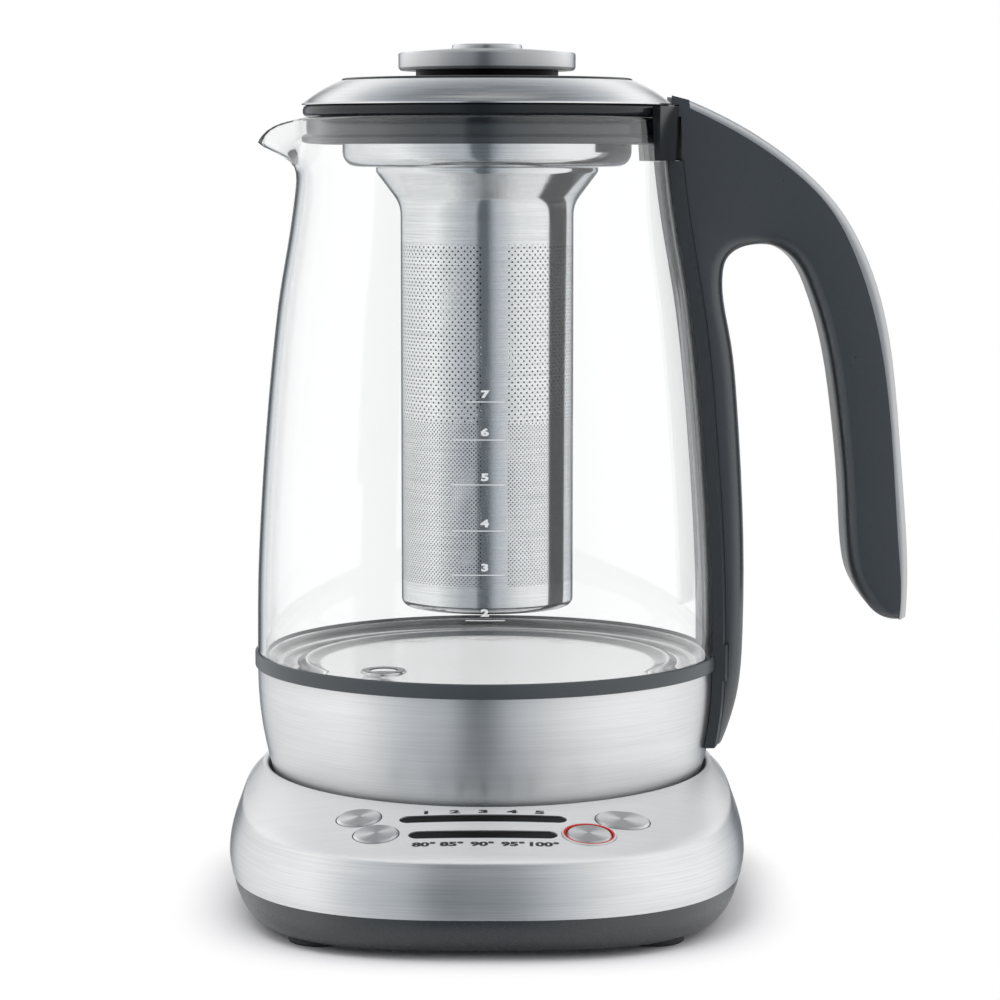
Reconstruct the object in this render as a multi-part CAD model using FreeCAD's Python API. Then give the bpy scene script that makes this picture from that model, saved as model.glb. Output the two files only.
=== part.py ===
import FreeCAD, Part
import math
import os

# Glass tea maker: a jug with a lift-out tea basket, which stands on a powered base.
# Millimetres, +Z up. The origin is on the jug's axis, at the surface the base stands on.
# The front is -Y, the spout points to -X and the handle to +X.

Vector = FreeCAD.Vector

# ------------------------------------------------------------------ clearances
FIT = 0.1              # between pieces fastened to each other
RUNNING_GAP = 0.4      # between pieces that move on each other
SEAT_GAP = 0.7         # round the jug's skirt where it enters the base

# ------------------------------------------------------------------ base
FOOT_HEIGHT = 2.0      # rubber feet below the pan
FOOT_RADIUS = 9.0
FOOT_ROUNDING = 0.6
FOOT_SIDE_INSET = 25.3 # a foot's centre inside the crease, at the sides
FOOT_FRONT_INSET = 25.1
FOOT_BACK_INSET = 24.6
PAN_HEIGHT = 10.0      # plastic pan, underside to the seam with the steel cover
PAN_WALL = 2.2
PAN_LIP = 3.0          # lip of the pan that stands inside the cover
PAN_LIP_WALL = 0.9
PAN_ROOT = 0.5         # overlap by which the lip, the posts and the bosses grow out of the pan
SEAM_STEP = 0.3        # the pan stands back from the cover at the seam
RIM_HEIGHT = 37.0      # rim of the recess above the table, at the axis
RIM_SLOPE = 0.026      # the rim leans to the front
RIM_LIP = 1.7          # flat of steel round the recess
RIM_ROUNDING = 1.3
RECESS_DEPTH = 10.0    # rim to the recess floor
CREASE_DROP = 4.4      # rim to the crease between the top and the side, at the axis
CREASE_SLOPE = 0.044
SIDE_SHOULDER = 4.2    # rim to crease at the sides
FRONT_PANEL = 35.0     # rim to crease at the front, the control panel
BACK_SHOULDER = 4.5
CREASE_ROUNDING = 2.0  # reach of the bend at the crease
SIDE_BULGE = 3.7       # belly of the side beyond the crease
SEAM_BULGE = 3.0
PAN_TUCK = 4.0         # underside of the pan inside the crease
CORNER_POWER = 2.7     # squareness of the plan, 2 is an ellipse
PAN_CORNER_POWER = 3.2
PLAN_POINTS = 40
SHEET = 1.2            # steel of the cover
COLLAR_DEPTH = 7.5     # steel turned down round the recess

CRADLE_THICKNESS = 2.5
CRADLE_WALL = 4.0      # height of the upstand of the cradle
CRADLE_WALL_THICKNESS = 1.4
CRADLE_SCREW_SKIN = 0.8    # plastic left above the screws of the cradle
POST_RADIUS = 5.0
POST_CIRCLE = 50.0
SCREW_SHANK_RADIUS = 1.5
SCREW_HEAD_RADIUS = 3.0
SCREW_HEAD_HEIGHT = 2.0
SCREW_COUNTERBORE = 6.0

SOCKET_RADIUS = 15.6   # male connector that the jug drops on
SOCKET_HEIGHT = 14.0   # above the recess floor
SOCKET_ROUNDING = 1.2
SOCKET_FLANGE_RADIUS = 21.0
SOCKET_FLANGE_THICKNESS = 2.0
SOCKET_BODY_DEPTH = 10.0
SOCKET_GROOVE_INNER = 8.6
SOCKET_GROOVE_OUTER = 12.8
SOCKET_GROOVE_DEPTH = 12.0
RING_CONTACT_RADIUS = 10.2
CONTACT_WALL = 0.8
CONTACT_DROP = 1.5     # contacts end below the mouth of the socket
PIN_BORE_RADIUS = 4.8
PIN_RADIUS = 1.6
PIN_ROUNDING = 0.8

# ------------------------------------------------------------------ control panel
CARRIER_THICKNESS = 1.8
CARRIER_HALF_WIDTH = 50.0
CARRIER_MARGIN = 7.0   # carrier inside the crease
CARRIER_BACK_SHARE = 0.82    # back edge of the carrier, as a share of the recess radius
BOARD_DEPTH = 11.0     # panel surface to the control board
BOARD_END_INSET = 25.3 # ends of the control board inside the crease at the sides
BOARD_WIDTH = 20.0
BOARD_THICKNESS = 1.6
BOARD_SET_BACK = 19.6  # middle of the control board behind the crease at the front
BUTTON_RADIUS = 6.25
BUTTON_GAP = 0.3
BUTTON_HEIGHT = 4.2    # cap from its top to its underside
BUTTON_PROUD = 0.5
BUTTON_CHAMFER = 0.5
BUTTON_TRAVEL = 0.6
STEM_RADIUS = 1.8
GUIDE_WALL = 0.9
GUIDE_LENGTH = 1.2
SWITCH_SIZE = 6.0
SWITCH_HEIGHT = 3.0
PLUNGER_RADIUS = 1.5
PLUNGER_HEIGHT = 0.8
PLUNGER_GAP = 0.25     # plunger to the stem of a button that is fully pressed
# Places on the panel: X from the middle, and distance behind the crease at the front
TIME_BUTTON_PLACE = (-35.5, 30.8)
TEMP_BUTTON_PLACE = (-30.3, 18.3)
TIMER_BUTTON_PLACE = (37.9, 29.6)
START_BUTTON_PLACE = (28.3, 17.9)
TIME_BAR_PLACE = (-0.9, 27.7)
TEMP_BAR_PLACE = (-0.9, 16.8)
TIMER_BUTTON_STRETCH = 2.7   # the timer button is this much wider than it is deep
START_RING_WIDTH = 1.0
START_RING_PROUD = 0.3
BAR_SINK = 0.3         # light bars lie below the steel
TIME_BAR_LENGTH = 46.5
TIME_BAR_WIDTH = 5.0
TEMP_BAR_LENGTH = 41.0
TEMP_BAR_WIDTH = 5.2
LAMP_COUNT = 5
LAMP_PITCH = 8.0
LAMP_LENGTH = 3.0
LAMP_WIDTH = 1.6
BEEPER_RADIUS = 4.5
BEEPER_HEIGHT = 4.0
BEEPER_X = 24.0

# ------------------------------------------------------------------ electrics in the pan
POWER_BOARD_LENGTH = 56.0
POWER_BOARD_WIDTH = 38.0
POWER_BOARD_GAP = 2.1  # power board to the gland
STANDOFF_HEIGHT = 4.0
STANDOFF_RADIUS = 2.5
STANDOFF_INSET = 4.0
BOARD_SCREW_RADIUS = 1.1
BOARD_SCREW_HEAD_RADIUS = 2.2
BOARD_SCREW_HEAD_HEIGHT = 1.4
SUPPLY_SET_BACK = 4.0  # supply block to the front edge of its board
SUPPLY_LENGTH = 22.0
SUPPLY_WIDTH = 16.0
SUPPLY_HEADROOM = 2.7  # top of the block to the cradle
SUPPLY_X = 9.5
RELAY_LENGTH = 19.0
RELAY_WIDTH = 14.0
RELAY_HEADROOM = 3.7
RELAY_SET_BACK = 10.0  # relay to the back edge of its board
RELAY_X = -11.5
CAPACITOR_RADIUS = 5.0
CAPACITOR_HEADROOM = 4.7
GLAND_RADIUS = 3.8
GLAND_BORE = 3.0
GLAND_FLANGE_RADIUS = 4.4
GLAND_FLANGE_THICKNESS = 1.4
GLAND_LENGTH = 10.0
GLAND_RISE = 0.3       # gland's axis above the middle of the pan
GLAND_SINK = 0.5       # face of the pan at the gland inside the crease
GLAND_BOSS_MARGIN = 1.0
LEAD_RADIUS = 0.9
SOCKET_LEAD_PITCH = 6.0
SOCKET_LEAD_X = -3.0   # middle one of the three leads to the socket
SOCKET_LEAD_RISE = 1.2
SOCKET_LEAD_END = 4.0  # end of the leads under the socket, from the axis
PANEL_LEAD_PITCH = 3.0
PANEL_LEAD_X = 15.0
LEAD_INSET = 2.5       # leads inside the front edge of the power board

# ------------------------------------------------------------------ jug
GLASS_FOOT_RADIUS = 68.5
GLASS_NECK_RADIUS = 54.6
GLASS_HEIGHT = 160.2   # foot to rim
GLASS_WALL = 2.3
# Share of the taper reached at a share of the height
GLASS_TAPER = (
    (0.0, 0.0), (0.18, 0.035), (0.42, 0.21), (0.65, 0.48), (0.80, 0.765), (0.91, 0.93), (1.0, 1.0),
)
# Sections of the spout: distance beyond the neck, underside below the rim, width
SPOUT_SECTIONS = (
    (-8.0, 24.0, 46.0), (1.7, 18.4, 33.0), (3.6, 13.8, 27.0), (6.4, 10.9, 20.5), (9.4, 9.6, 14.0),
    (12.9, 8.2, 6.0),
)
SPOUT_HEADROOM = 6.0   # drawn height above the rim, cut away again
SPOUT_SHOULDER = 0.35  # height of a section's widest bulge, as a share of its height
SPOUT_SHOULDER_WIDTH = 0.72
# Edge of the spout: distance beyond the neck, distance below the rim
SPOUT_EDGE = ((-8.0, 0.0), (0.0, 0.1), (4.8, 1.2), (7.8, 2.4), (10.4, 4.0), (12.9, 6.9))

SKIRT_RISE = 0.5       # foot of the skirt above the floor of the under cover
SKIRT_HEIGHT = 36.0
SKIRT_TAPER = 6.0      # the skirt's foot is this much narrower than its top
SKIRT_TAPER_POWER = 2.2
SKIRT_SHEET = 1.0
SKIRT_FLANGE = 5.2     # flange turned in at the top of the skirt
UNDER_COVER_THICKNESS = 2.5
UNDER_COVER_RIM = 6.0
UNDER_COVER_WALL = 2.0
UNDER_COVER_ROUNDING = 1.2
UNDER_COVER_SEAT_WALL = 4.0
FOOT_RING_WIDTH = 0.7  # foot ring stands proud of the glass
FOOT_RING_HEIGHT = 4.3
FOOT_RING_OVERLAP = 0.8    # drawn inside the glass, cut away again
FOOT_RING_TOP_ROUNDING = 0.5
FOOT_RING_FOOT_ROUNDING = 0.3
GASKET_THICKNESS = 1.5
GASKET_RISE = 1.8
GASKET_SET_BACK = 0.9  # gasket inside the foot of the glass
GASKET_LIP = 0.9
GASKET_TONGUE = 2.6    # reach under the floor plate
FLOOR_SHEET = 0.8
FLOOR_RISE = 0.2       # flat middle above the flange of the skirt
FLOOR_RIM_INSET = 1.1  # rim of the floor plate inside the glass
FLOOR_RIM_RISE = 3.5   # rim of the floor plate above its flat middle
FLOOR_RIM_SLANT = (1.2, 1.0)
FLOOR_CHANNEL_RISE = 0.6
FLOOR_CHANNEL_WIDTH = 4.6
FLOOR_CHANNEL_FLANK = (1.6, 0.4)
FLOOR_BEAD_RISE = 1.5
FLOOR_FLAT_INSET = 18.5    # flat middle inside the foot of the glass
FLOOR_BEAD_WIDTH = 5.5
FLOOR_BEAD_FLANK = 1.2
FLOOR_BEAD_CREST = 1.4
FLOOR_ROUNDING = 1.2
FLOOR_BEAD_ROUNDING = 1.0
FLOOR_FLAT_ROUNDING = 1.5
HEAT_PLATE_INSET = 1.0
HEAT_PLATE_THICKNESS = 3.4
ELEMENT_RADIUS = 3.2
ELEMENT_INSET = 4.5    # element centre inside the edge of the heat plate
ELEMENT_GAP_ANGLE = 36.0
COLD_END_LENGTH = 9.0
COLD_END_RADIUS = 2.0
SENSOR_INSET = 13.9    # sensor's centre inside the edge of the flat middle
SENSOR_ANGLE = 213.25
SENSOR_ROUNDING = 0.4
SENSOR_OVERHANG = 0.4  # sensor's head beyond its seal
SENSOR_RADIUS = 6.7
SENSOR_STEM_RADIUS = 4.0
SENSOR_STEM_LENGTH = 10.0
SENSOR_HEAD = 0.8
SEAL_THICKNESS = 0.5
CUTOUT_RADIUS = 8.0
CUTOUT_HEIGHT = 7.0
CUTOUT_EAR_LENGTH = 25.6
CUTOUT_EAR_WIDTH = 6.0
CUTOUT_EAR_THICKNESS = 1.2
PLUG_GAP = 0.6         # socket to the wall of the plug
PLUG_ROOF_GAP = 1.0
PLUG_WALL = 2.6
PLUG_ROOF = 3.0
PLUG_FLANGE = 3.4
PLUG_FLANGE_THICKNESS = 2.0
PLUG_SEAT_RISE = 4.0   # seat of the plug's flange above the under cover's face
PLUG_ROUNDING = 1.0
COVER_SCREW_INSET = 15.0   # screws of the under cover inside the edge of the heat plate
COVER_SCREW_ANGLES = (30, 150, 270)
COVER_SCREW_SINK = 0.6 # ends of the screws above the face of the under cover
COVER_SCREW_REACH = 12.0
COVER_SCREW_HEAD_RADIUS = 2.7
COVER_SCREW_HEAD_HEIGHT = 1.4
COVER_LEG_RADIUS = 4.0
JUG_LEAD_SPREAD = 4.0  # the two heater leads leave the plug this far from the middle plane
JUG_LEAD_BEND = 0.6    # bend of a heater lead, as a share of the way to the cold end
JUG_LEAD_DROP = 1.5
SENSOR_LEAD_START = 9.0
SENSOR_LEAD_RISE = 2.0

# ------------------------------------------------------------------ handle
# Points are (distance beyond the jug's foot radius, distance below the rim of the glass).
HANDLE_HALF_WIDTH = 13.0
TRIM_SET_BACK = 0.4    # faces of the trim behind the faces of the handle
TRIM_ROUNDING = 2.0
HANDLE_ROUNDING = 4.0
HANDLE_NOSE_GAP = 0.7  # handle to the steel ring of the lid
HANDLE_LID_GAP = 0.4   # handle to the underside of the steel ring
HANDLE_TOP = ((-15.7, -6.3), (-9.9, -4.8))
HANDLE_OUTER = (
    (-9.9, -4.8), (6.7, 3.3), (23.7, 15.4), (34.6, 27.0), (41.4, 38.7), (47.5, 56.2),
    (51.3, 79.6), (53.4, 103.2), (55.2, 126.8), (55.4, 138.7), (55.0, 146.6),
)
HANDLE_TRIM = (
    (-9.6, -2.4), (4.4, 4.7), (20.2, 15.4), (31.7, 27.0), (38.2, 38.7), (44.3, 56.2),
    (48.7, 79.6), (50.9, 103.2), (52.6, 126.8), (53.4, 138.7), (53.0, 147.4),
)
# Finger gap, from the free end of the arch round the top of the gap and down the pillar
HANDLE_GAP = (
    (51.0, 147.5), (46.1, 145.4), (42.2, 140.7), (39.2, 135.0), (37.6, 127.6), (36.5, 111.5), (34.2, 87.3),
    (30.2, 63.5), (26.0, 50.1), (20.6, 40.7), (15.0, 37.4), (9.5, 37.1), (4.6, 38.5), (1.5, 41.5), (0.5, 45.4),
    (2.9, 65.0), (4.8, 81.7), (6.4, 106.0), (7.3, 132.9), (7.1, 152.0), (5.6, 169.5), (3.2, 178.5),
    (1.2, 183.8),
)
HANDLE_ROOT_SHARE = 0.6    # the mouldings are drawn from this share of the neck, cut away again
PILLAR_FOOT_DROP = 1.0
BACK_HALF_WIDTH = 18.0 # plate of the handle that lies along the jug
BACK_THICKNESS = 3.0
BRACKET_ANGLE = 30.0   # half of the arc that the neck bracket spans
BRACKET_THICKNESS = 2.4
BRACKET_HEIGHT = 15.6
BRACKET_PROUD = 2.9    # bracket above the rim of the glass

# ------------------------------------------------------------------ lid
LID_RADIUS = 54.4
LID_HEIGHT = 7.1       # steel ring, bottom edge to top edge
LID_OPENING = 43.1
LID_SHEET = 1.2
LID_BULGE = 0.9        # crown of the steel ring
LID_BODY_RADIUS = 54.1
LID_BODY_HEIGHT = 3.4  # dark ring between the glass and the steel
LID_BODY_ROUNDING = 0.7
LID_HEM = 0.6          # upright hem at the edge of the steel ring
LID_BODY_STEP = 2.0    # ledge for the basket below the steel's top edge
LID_SLEEVE_DROP = 6.0
LID_SLEEVE_RADIUS = 49.0
SEAL_DROP = 8.0
SEAL_LIP = 2.0
SEAL_LIP_REACH = 1.5   # lip under the sleeve of the lid
SEAL_LIP_ROUNDING = 0.6
SEAL_BODY_SET_BACK = 0.3

# ------------------------------------------------------------------ basket and its lid
COLLAR_RADIUS = 41.0
COLLAR_FLANGE = 1.6
COLLAR_HEIGHT = 23.2
COLLAR_CORNER = 4.5
BASKET_SHEET = 0.6
FUNNEL_MOUTH_RADIUS = 32.3
FUNNEL_HEIGHT = 11.0
FUNNEL_NECK = 4.6      # plain neck below the funnel
FUNNEL_FOLD = 1.4      # rounded fold from the shelf into the funnel
FUNNEL_FOLD_INNER = 0.8
FUNNEL_BEND = 4.0      # bend from the funnel into the neck
FUNNEL_EDGE = 0.2
TUBE_RADIUS = 25.5
TUBE_SHEET = 0.4
BASKET_DEPTH = 152.7   # flange to the underside of the basket
BASKET_BASE_HEIGHT = 6.5
BASKET_BASE_ROUNDING = 2.2
PLATE_THICKNESS = 2.1
PLATE_ROUNDING = 0.7
PLATE_GAP = 0.4
PLATE_SKIRT_DEPTH = 4.0
PLATE_SKIRT_WALL = 1.6
STEM_RADIUS_KNOB = 20.9
STEM_HEIGHT = 2.3
KNOB_RADIUS = 26.0
KNOB_EDGE = 5.1
KNOB_CROWN = 1.4
KNOB_EDGE_ROUNDING = 0.8
KNOB_FOOT_BEVEL = (0.6, 0.8)
KNOB_POCKET_RADIUS = 8.0
KNOB_POCKET_DEPTH = 3.0
KNOB_CENTRE_RADIUS = 10.3
KNOB_CENTRE_PROUD = 1.1
KNOB_CENTRE_DEPTH = 1.6
KNOB_CENTRE_ROUNDING = 0.6
KNOB_SCREW_RADIUS = 1.8
KNOB_SCREW_HEAD = 3.6
KNOB_SCREW_LENGTH = 7.0

# ------------------------------------------------------------------ levels and radii that follow
SEAM_Z = FOOT_HEIGHT + PAN_HEIGHT
PAN_FLOOR_Z = FOOT_HEIGHT + PAN_WALL
RECESS_Z = RIM_HEIGHT - RECESS_DEPTH
CRADLE_BOTTOM_Z = RECESS_Z - CRADLE_THICKNESS
SKIRT_BOTTOM_Z = RECESS_Z + UNDER_COVER_THICKNESS + SKIRT_RISE
SKIRT_TOP_Z = SKIRT_BOTTOM_Z + SKIRT_HEIGHT
SKIRT_TOP_RADIUS = GLASS_FOOT_RADIUS - FIT
GLASS_FOOT_Z = SKIRT_TOP_Z + GASKET_THICKNESS
RIM_Z = GLASS_FOOT_Z + GLASS_HEIGHT
FLOOR_Z = SKIRT_TOP_Z + FLOOR_RISE
FLOOR_FLAT_RADIUS = GLASS_FOOT_RADIUS - FLOOR_FLAT_INSET
HEAT_PLATE_RADIUS = FLOOR_FLAT_RADIUS - HEAT_PLATE_INSET
HEAT_PLATE_TOP_Z = FLOOR_Z - FLOOR_SHEET - FIT
SOCKET_TOP_Z = RECESS_Z + SOCKET_HEIGHT
PLUG_CAVITY_RADIUS = SOCKET_RADIUS + PLUG_GAP
PLUG_RADIUS = PLUG_CAVITY_RADIUS + PLUG_WALL
PLUG_ROOF_Z = SOCKET_TOP_Z + PLUG_ROOF_GAP
LID_RING_Z = RIM_Z + LID_BODY_HEIGHT
LID_TOP_Z = LID_RING_Z + LID_HEIGHT
LEDGE_Z = LID_TOP_Z - LID_BODY_STEP
BASKET_BOTTOM_Z = LEDGE_Z - BASKET_DEPTH
FUNNEL_TOP_Z = LEDGE_Z - COLLAR_HEIGHT
TUBE_TOP_Z = FUNNEL_TOP_Z - FUNNEL_HEIGHT - FUNNEL_NECK
PLATE_Z = LEDGE_Z + BASKET_SHEET
KNOB_STEM_Z = PLATE_Z + PLATE_THICKNESS
KNOB_Z = KNOB_STEM_Z + STEM_HEIGHT
SENSOR_POSITION = (
    (FLOOR_FLAT_RADIUS - SENSOR_INSET) * math.cos(math.radians(SENSOR_ANGLE)),
    (FLOOR_FLAT_RADIUS - SENSOR_INSET) * math.sin(math.radians(SENSOR_ANGLE)),
)


# ------------------------------------------------------------------ drawing helpers
def rounded_wire(points, place):
    """Closed wire through points (a, b) or (a, b, rounding); place turns (a, b) into a Vector."""
    corners = []
    for index, point in enumerate(points):
        here = Vector(point[0], point[1], 0)
        before = Vector(points[index - 1][0], points[index - 1][1], 0)
        after_point = points[(index + 1) % len(points)]
        after = Vector(after_point[0], after_point[1], 0)
        rounding = point[2] if len(point) > 2 else 0.0
        corners.append(corner(before, here, after, rounding))
    edges = []
    for index, spots in enumerate(corners):
        if len(spots) == 3:
            edges.append(Part.Arc(*[place(spot) for spot in spots]).toShape())
        start = spots[-1]
        end = corners[(index + 1) % len(corners)][0]
        if start.distanceToPoint(end) > 1e-6:
            edges.append(Part.LineSegment(place(start), place(end)).toShape())
    return Part.Wire(Part.__sortEdges__(edges))


def corner(before, here, after, rounding):
    """A sharp corner, or the start, middle and end of the arc that rounds it."""
    if rounding <= 0:
        return [here]
    back = (before - here).normalize()
    ahead = (after - here).normalize()
    half = back.getAngle(ahead) / 2
    middle_line = (back + ahead).normalize()
    reach = rounding / math.tan(half)
    centre = here + middle_line * (rounding / math.sin(half))
    return [here + back * reach, centre - middle_line * rounding, here + ahead * reach]


def upright(spot):
    """Point of a drawing in the XZ plane."""
    return Vector(spot.x, 0, spot.y)


def turned(points):
    """Solid of revolution about Z from a closed outline of (radius, height[, rounding])."""
    face = Part.Face(rounded_wire(points, upright))
    return face.revolve(Vector(0, 0, 0), Vector(0, 0, 1), 360)


def turned_edges(edges):
    """Solid of revolution about Z from edges in the XZ plane that close an outline."""
    face = Part.Face(Part.Wire(Part.__sortEdges__(edges)))
    return face.revolve(Vector(0, 0, 0), Vector(0, 0, 1), 360)


def line(a, b):
    return Part.LineSegment(a, b).toShape()


def curve(points):
    """Smooth edge through points."""
    spline = Part.BSplineCurve()
    spline.interpolate(points)
    return spline.toShape()


def rod(radius, bottom, top, x=0.0, y=0.0):
    """Upright cylinder between two heights."""
    return Part.makeCylinder(radius, top - bottom, Vector(x, y, bottom))


def tube(outer, inner, bottom, top, x=0.0, y=0.0):
    return rod(outer, bottom, top, x, y).cut(rod(inner, bottom, top, x, y))


def block(size, x, y, bottom):
    """Box centred on x and y that stands on a height."""
    return Part.makeBox(size[0], size[1], size[2], Vector(x - size[0] / 2, y - size[1] / 2, bottom))


def joined(shapes):
    """One solid from shapes that overlap."""
    first = shapes[0]
    return first.fuse(shapes[1:]).removeSplitter() if len(shapes) > 1 else first


def with_added(solid, pieces):
    for piece in pieces:
        solid = solid.fuse(piece)
    return solid


def with_cuts(solid, tools):
    for tool in tools:
        solid = solid.cut(tool)
    return solid


def group(shapes):
    return Part.makeCompound(shapes)


def lead(points, radius=LEAD_RADIUS):
    """Insulated wire along straight runs with round elbows."""
    spots = [Vector(*point) for point in points]
    pieces = []
    for start, end in zip(spots, spots[1:]):
        run = end - start
        pieces.append(Part.makeCylinder(radius, run.Length, start, run))
    for spot in spots[1:-1]:
        pieces.append(Part.makeSphere(radius, spot))
    return joined(pieces)


def screw(shank_radius, head_radius, head_height, length, x, y, seat):
    """Screw whose head stands on a height and whose shank points down."""
    shank = rod(shank_radius, seat - length, seat, x, y)
    head = rod(head_radius, seat, seat + head_height, x, y)
    return joined([shank, head])


def mirrored_places(x, y_front, y_back):
    return [(-x, y_front), (x, y_front), (-x, y_back), (x, y_back)]


# ------------------------------------------------------------------ shape of the jug's outside
def skirt_radius(height):
    depth = max(0.0, SKIRT_TOP_Z - height) / SKIRT_HEIGHT
    return SKIRT_TOP_RADIUS - SKIRT_TAPER * depth ** SKIRT_TAPER_POWER


def skirt_curve(offset):
    count = 9
    heights = [SKIRT_TOP_Z - SKIRT_HEIGHT * index / (count - 1) for index in range(count)]
    return [Vector(skirt_radius(height) + offset, 0, height) for height in heights]


def glass_points(offset):
    taper = GLASS_FOOT_RADIUS - GLASS_NECK_RADIUS
    points = []
    for height_share, taper_share in GLASS_TAPER:
        radius = GLASS_FOOT_RADIUS - taper * taper_share + offset
        points.append(Vector(radius, 0, GLASS_FOOT_Z + GLASS_HEIGHT * height_share))
    return points


def jug_envelope(gap):
    """Solid that fills the jug's outside with a gap added, for pieces that lie along it."""
    skirt = skirt_curve(gap)
    glass = glass_points(gap)
    ring = GLASS_FOOT_RADIUS + FOOT_RING_WIDTH + gap
    ring_top = SKIRT_TOP_Z + FOOT_RING_HEIGHT + gap
    body = turned_edges([
        curve(skirt), curve(glass),
        line(skirt[0], glass[0]),
        line(glass[-1], Vector(0, 0, glass[-1].z)),
        line(Vector(0, 0, glass[-1].z), Vector(0, 0, skirt[-1].z)),
        line(Vector(0, 0, skirt[-1].z), skirt[-1]),
    ])
    return joined([body, rod(ring, SKIRT_TOP_Z - gap, ring_top)])


# ------------------------------------------------------------------ shape of the base
RECESS_RADIUS = skirt_radius(RIM_HEIGHT) + SEAT_GAP
RIM_RADIUS = RECESS_RADIUS + RIM_LIP
CREASE_HALF_WIDTH = RIM_RADIUS + SIDE_SHOULDER
CREASE_FRONT = RIM_RADIUS + FRONT_PANEL
CREASE_BACK = RIM_RADIUS + BACK_SHOULDER
BOARD_LENGTH = 2 * (CREASE_HALF_WIDTH - BOARD_END_INSET)
GLAND_FACE_Y = CREASE_BACK - GLAND_SINK
GLAND_AXIS_Z = FOOT_HEIGHT + PAN_HEIGHT / 2 + GLAND_RISE
POWER_BOARD_FAR = GLAND_FACE_Y - GLAND_LENGTH - POWER_BOARD_GAP
POWER_BOARD_NEAR = POWER_BOARD_FAR - POWER_BOARD_WIDTH
POWER_BOARD_TOP_Z = PAN_FLOOR_Z + STANDOFF_HEIGHT + BOARD_THICKNESS


def behind_front(place):
    """Point (x, y) from its X and its distance behind the crease at the front."""
    x, distance = place
    return (x, distance - CREASE_FRONT)


BUTTONS = {
    "time": behind_front(TIME_BUTTON_PLACE),
    "temp": behind_front(TEMP_BUTTON_PLACE),
    "timer": behind_front(TIMER_BUTTON_PLACE),
    "start": behind_front(START_BUTTON_PLACE),
}
TIME_BAR = (behind_front(TIME_BAR_PLACE), TIME_BAR_LENGTH, TIME_BAR_WIDTH)
TEMP_BAR = (behind_front(TEMP_BAR_PLACE), TEMP_BAR_LENGTH, TEMP_BAR_WIDTH)


def closed_curve(points):
    """Closed smooth wire through points, evenly stepped, so that two such wires match in a loft."""
    spline = Part.BSplineCurve()
    steps = [index / len(points) for index in range(len(points) + 1)]
    spline.interpolate(Points=points, PeriodicFlag=True, Parameters=steps)
    return Part.Wire(spline.toShape())


def plan_points(growth, height, power=CORNER_POWER, slope=0.0):
    """Rounded-square plan of the base, grown beyond the crease, on a level or leaning plane."""
    half_x = CREASE_HALF_WIDTH + growth
    half_y = (CREASE_FRONT + CREASE_BACK) / 2 + growth
    middle_y = (CREASE_BACK - CREASE_FRONT) / 2
    points = []
    for index in range(PLAN_POINTS):
        angle = 2 * math.pi * index / PLAN_POINTS
        cosine, sine = math.cos(angle), math.sin(angle)
        reach = (abs(cosine / half_x) ** power + abs(sine / half_y) ** power) ** (-1 / power)
        x = reach * cosine
        y = middle_y + reach * sine
        points.append(Vector(x, y, height + slope * y))
    return points


def plan_wire(growth, height, power=CORNER_POWER, slope=0.0):
    return closed_curve(plan_points(growth, height, power, slope))


def rim_points(radius, height):
    points = []
    for index in range(PLAN_POINTS):
        angle = 2 * math.pi * index / PLAN_POINTS
        y = radius * math.sin(angle)
        points.append(Vector(radius * math.cos(angle), y, height + RIM_SLOPE * y))
    return points


def crease_curves(inset, drop):
    """Wires below, on and above the rounded crease."""
    crease_z = RIM_HEIGHT - CREASE_DROP - drop
    lean = SIDE_BULGE * CREASE_ROUNDING / (crease_z - SEAM_Z)
    sharp = plan_points(-inset, crease_z, slope=CREASE_SLOPE)
    below = plan_points(lean - inset, crease_z - CREASE_ROUNDING, slope=CREASE_SLOPE)
    above = []
    for point, rim in zip(sharp, rim_points(RIM_RADIUS, RIM_HEIGHT - drop)):
        above.append(point + (rim - point).normalize() * CREASE_ROUNDING)
    middle = [(low + point * 2 + high) * 0.25 for low, point, high in zip(below, sharp, above)]
    return [closed_curve(points) for points in (below, middle, above)]


def base_body(inset, drop):
    """Outside of the base above the seam, drawn in all round and lowered at its top."""
    side_height = RIM_HEIGHT - CREASE_DROP - SEAM_Z
    below, middle, above = crease_curves(inset, drop)
    seam = plan_wire(SEAM_BULGE - inset, SEAM_Z)
    rim = closed_curve(rim_points(RIM_RADIUS, RIM_HEIGHT - drop))
    side = Part.makeLoft([
        seam,
        plan_wire(SIDE_BULGE - inset, SEAM_Z + 0.28 * side_height),
        plan_wire(SIDE_BULGE * 0.75 - inset, SEAM_Z + 0.62 * side_height),
        below,
    ], False, False)
    bend = Part.makeLoft([below, middle, above], False, False)
    top = Part.makeLoft([above, rim], False, True)
    skin = Part.makeShell(side.Faces + bend.Faces + top.Faces + [Part.Face(seam), Part.Face(rim)])
    skin.sewShape()
    return Part.makeSolid(skin)


def top_frustum(inset, drop):
    """Upper part of the base, from the plane of the crease to the rim."""
    crease = plan_wire(-inset, RIM_HEIGHT - CREASE_DROP - drop, slope=CREASE_SLOPE)
    return Part.makeLoft([crease, closed_curve(rim_points(RIM_RADIUS, RIM_HEIGHT - drop))], True, True)


def moved(shape, x, y, z):
    copy = shape.copy()
    copy.translate(Vector(x, y, z))
    return copy


def outer_body():
    return base_body(0.0, 0.0)


def panel_face():
    """Top surface of the base between the crease and the rim."""
    crease = plan_wire(0.0, RIM_HEIGHT - CREASE_DROP, slope=CREASE_SLOPE)
    top = Part.makeLoft([crease, closed_curve(rim_points(RIM_RADIUS, RIM_HEIGHT))], False, True)
    return top.Faces[0]


PANEL = panel_face()


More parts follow.
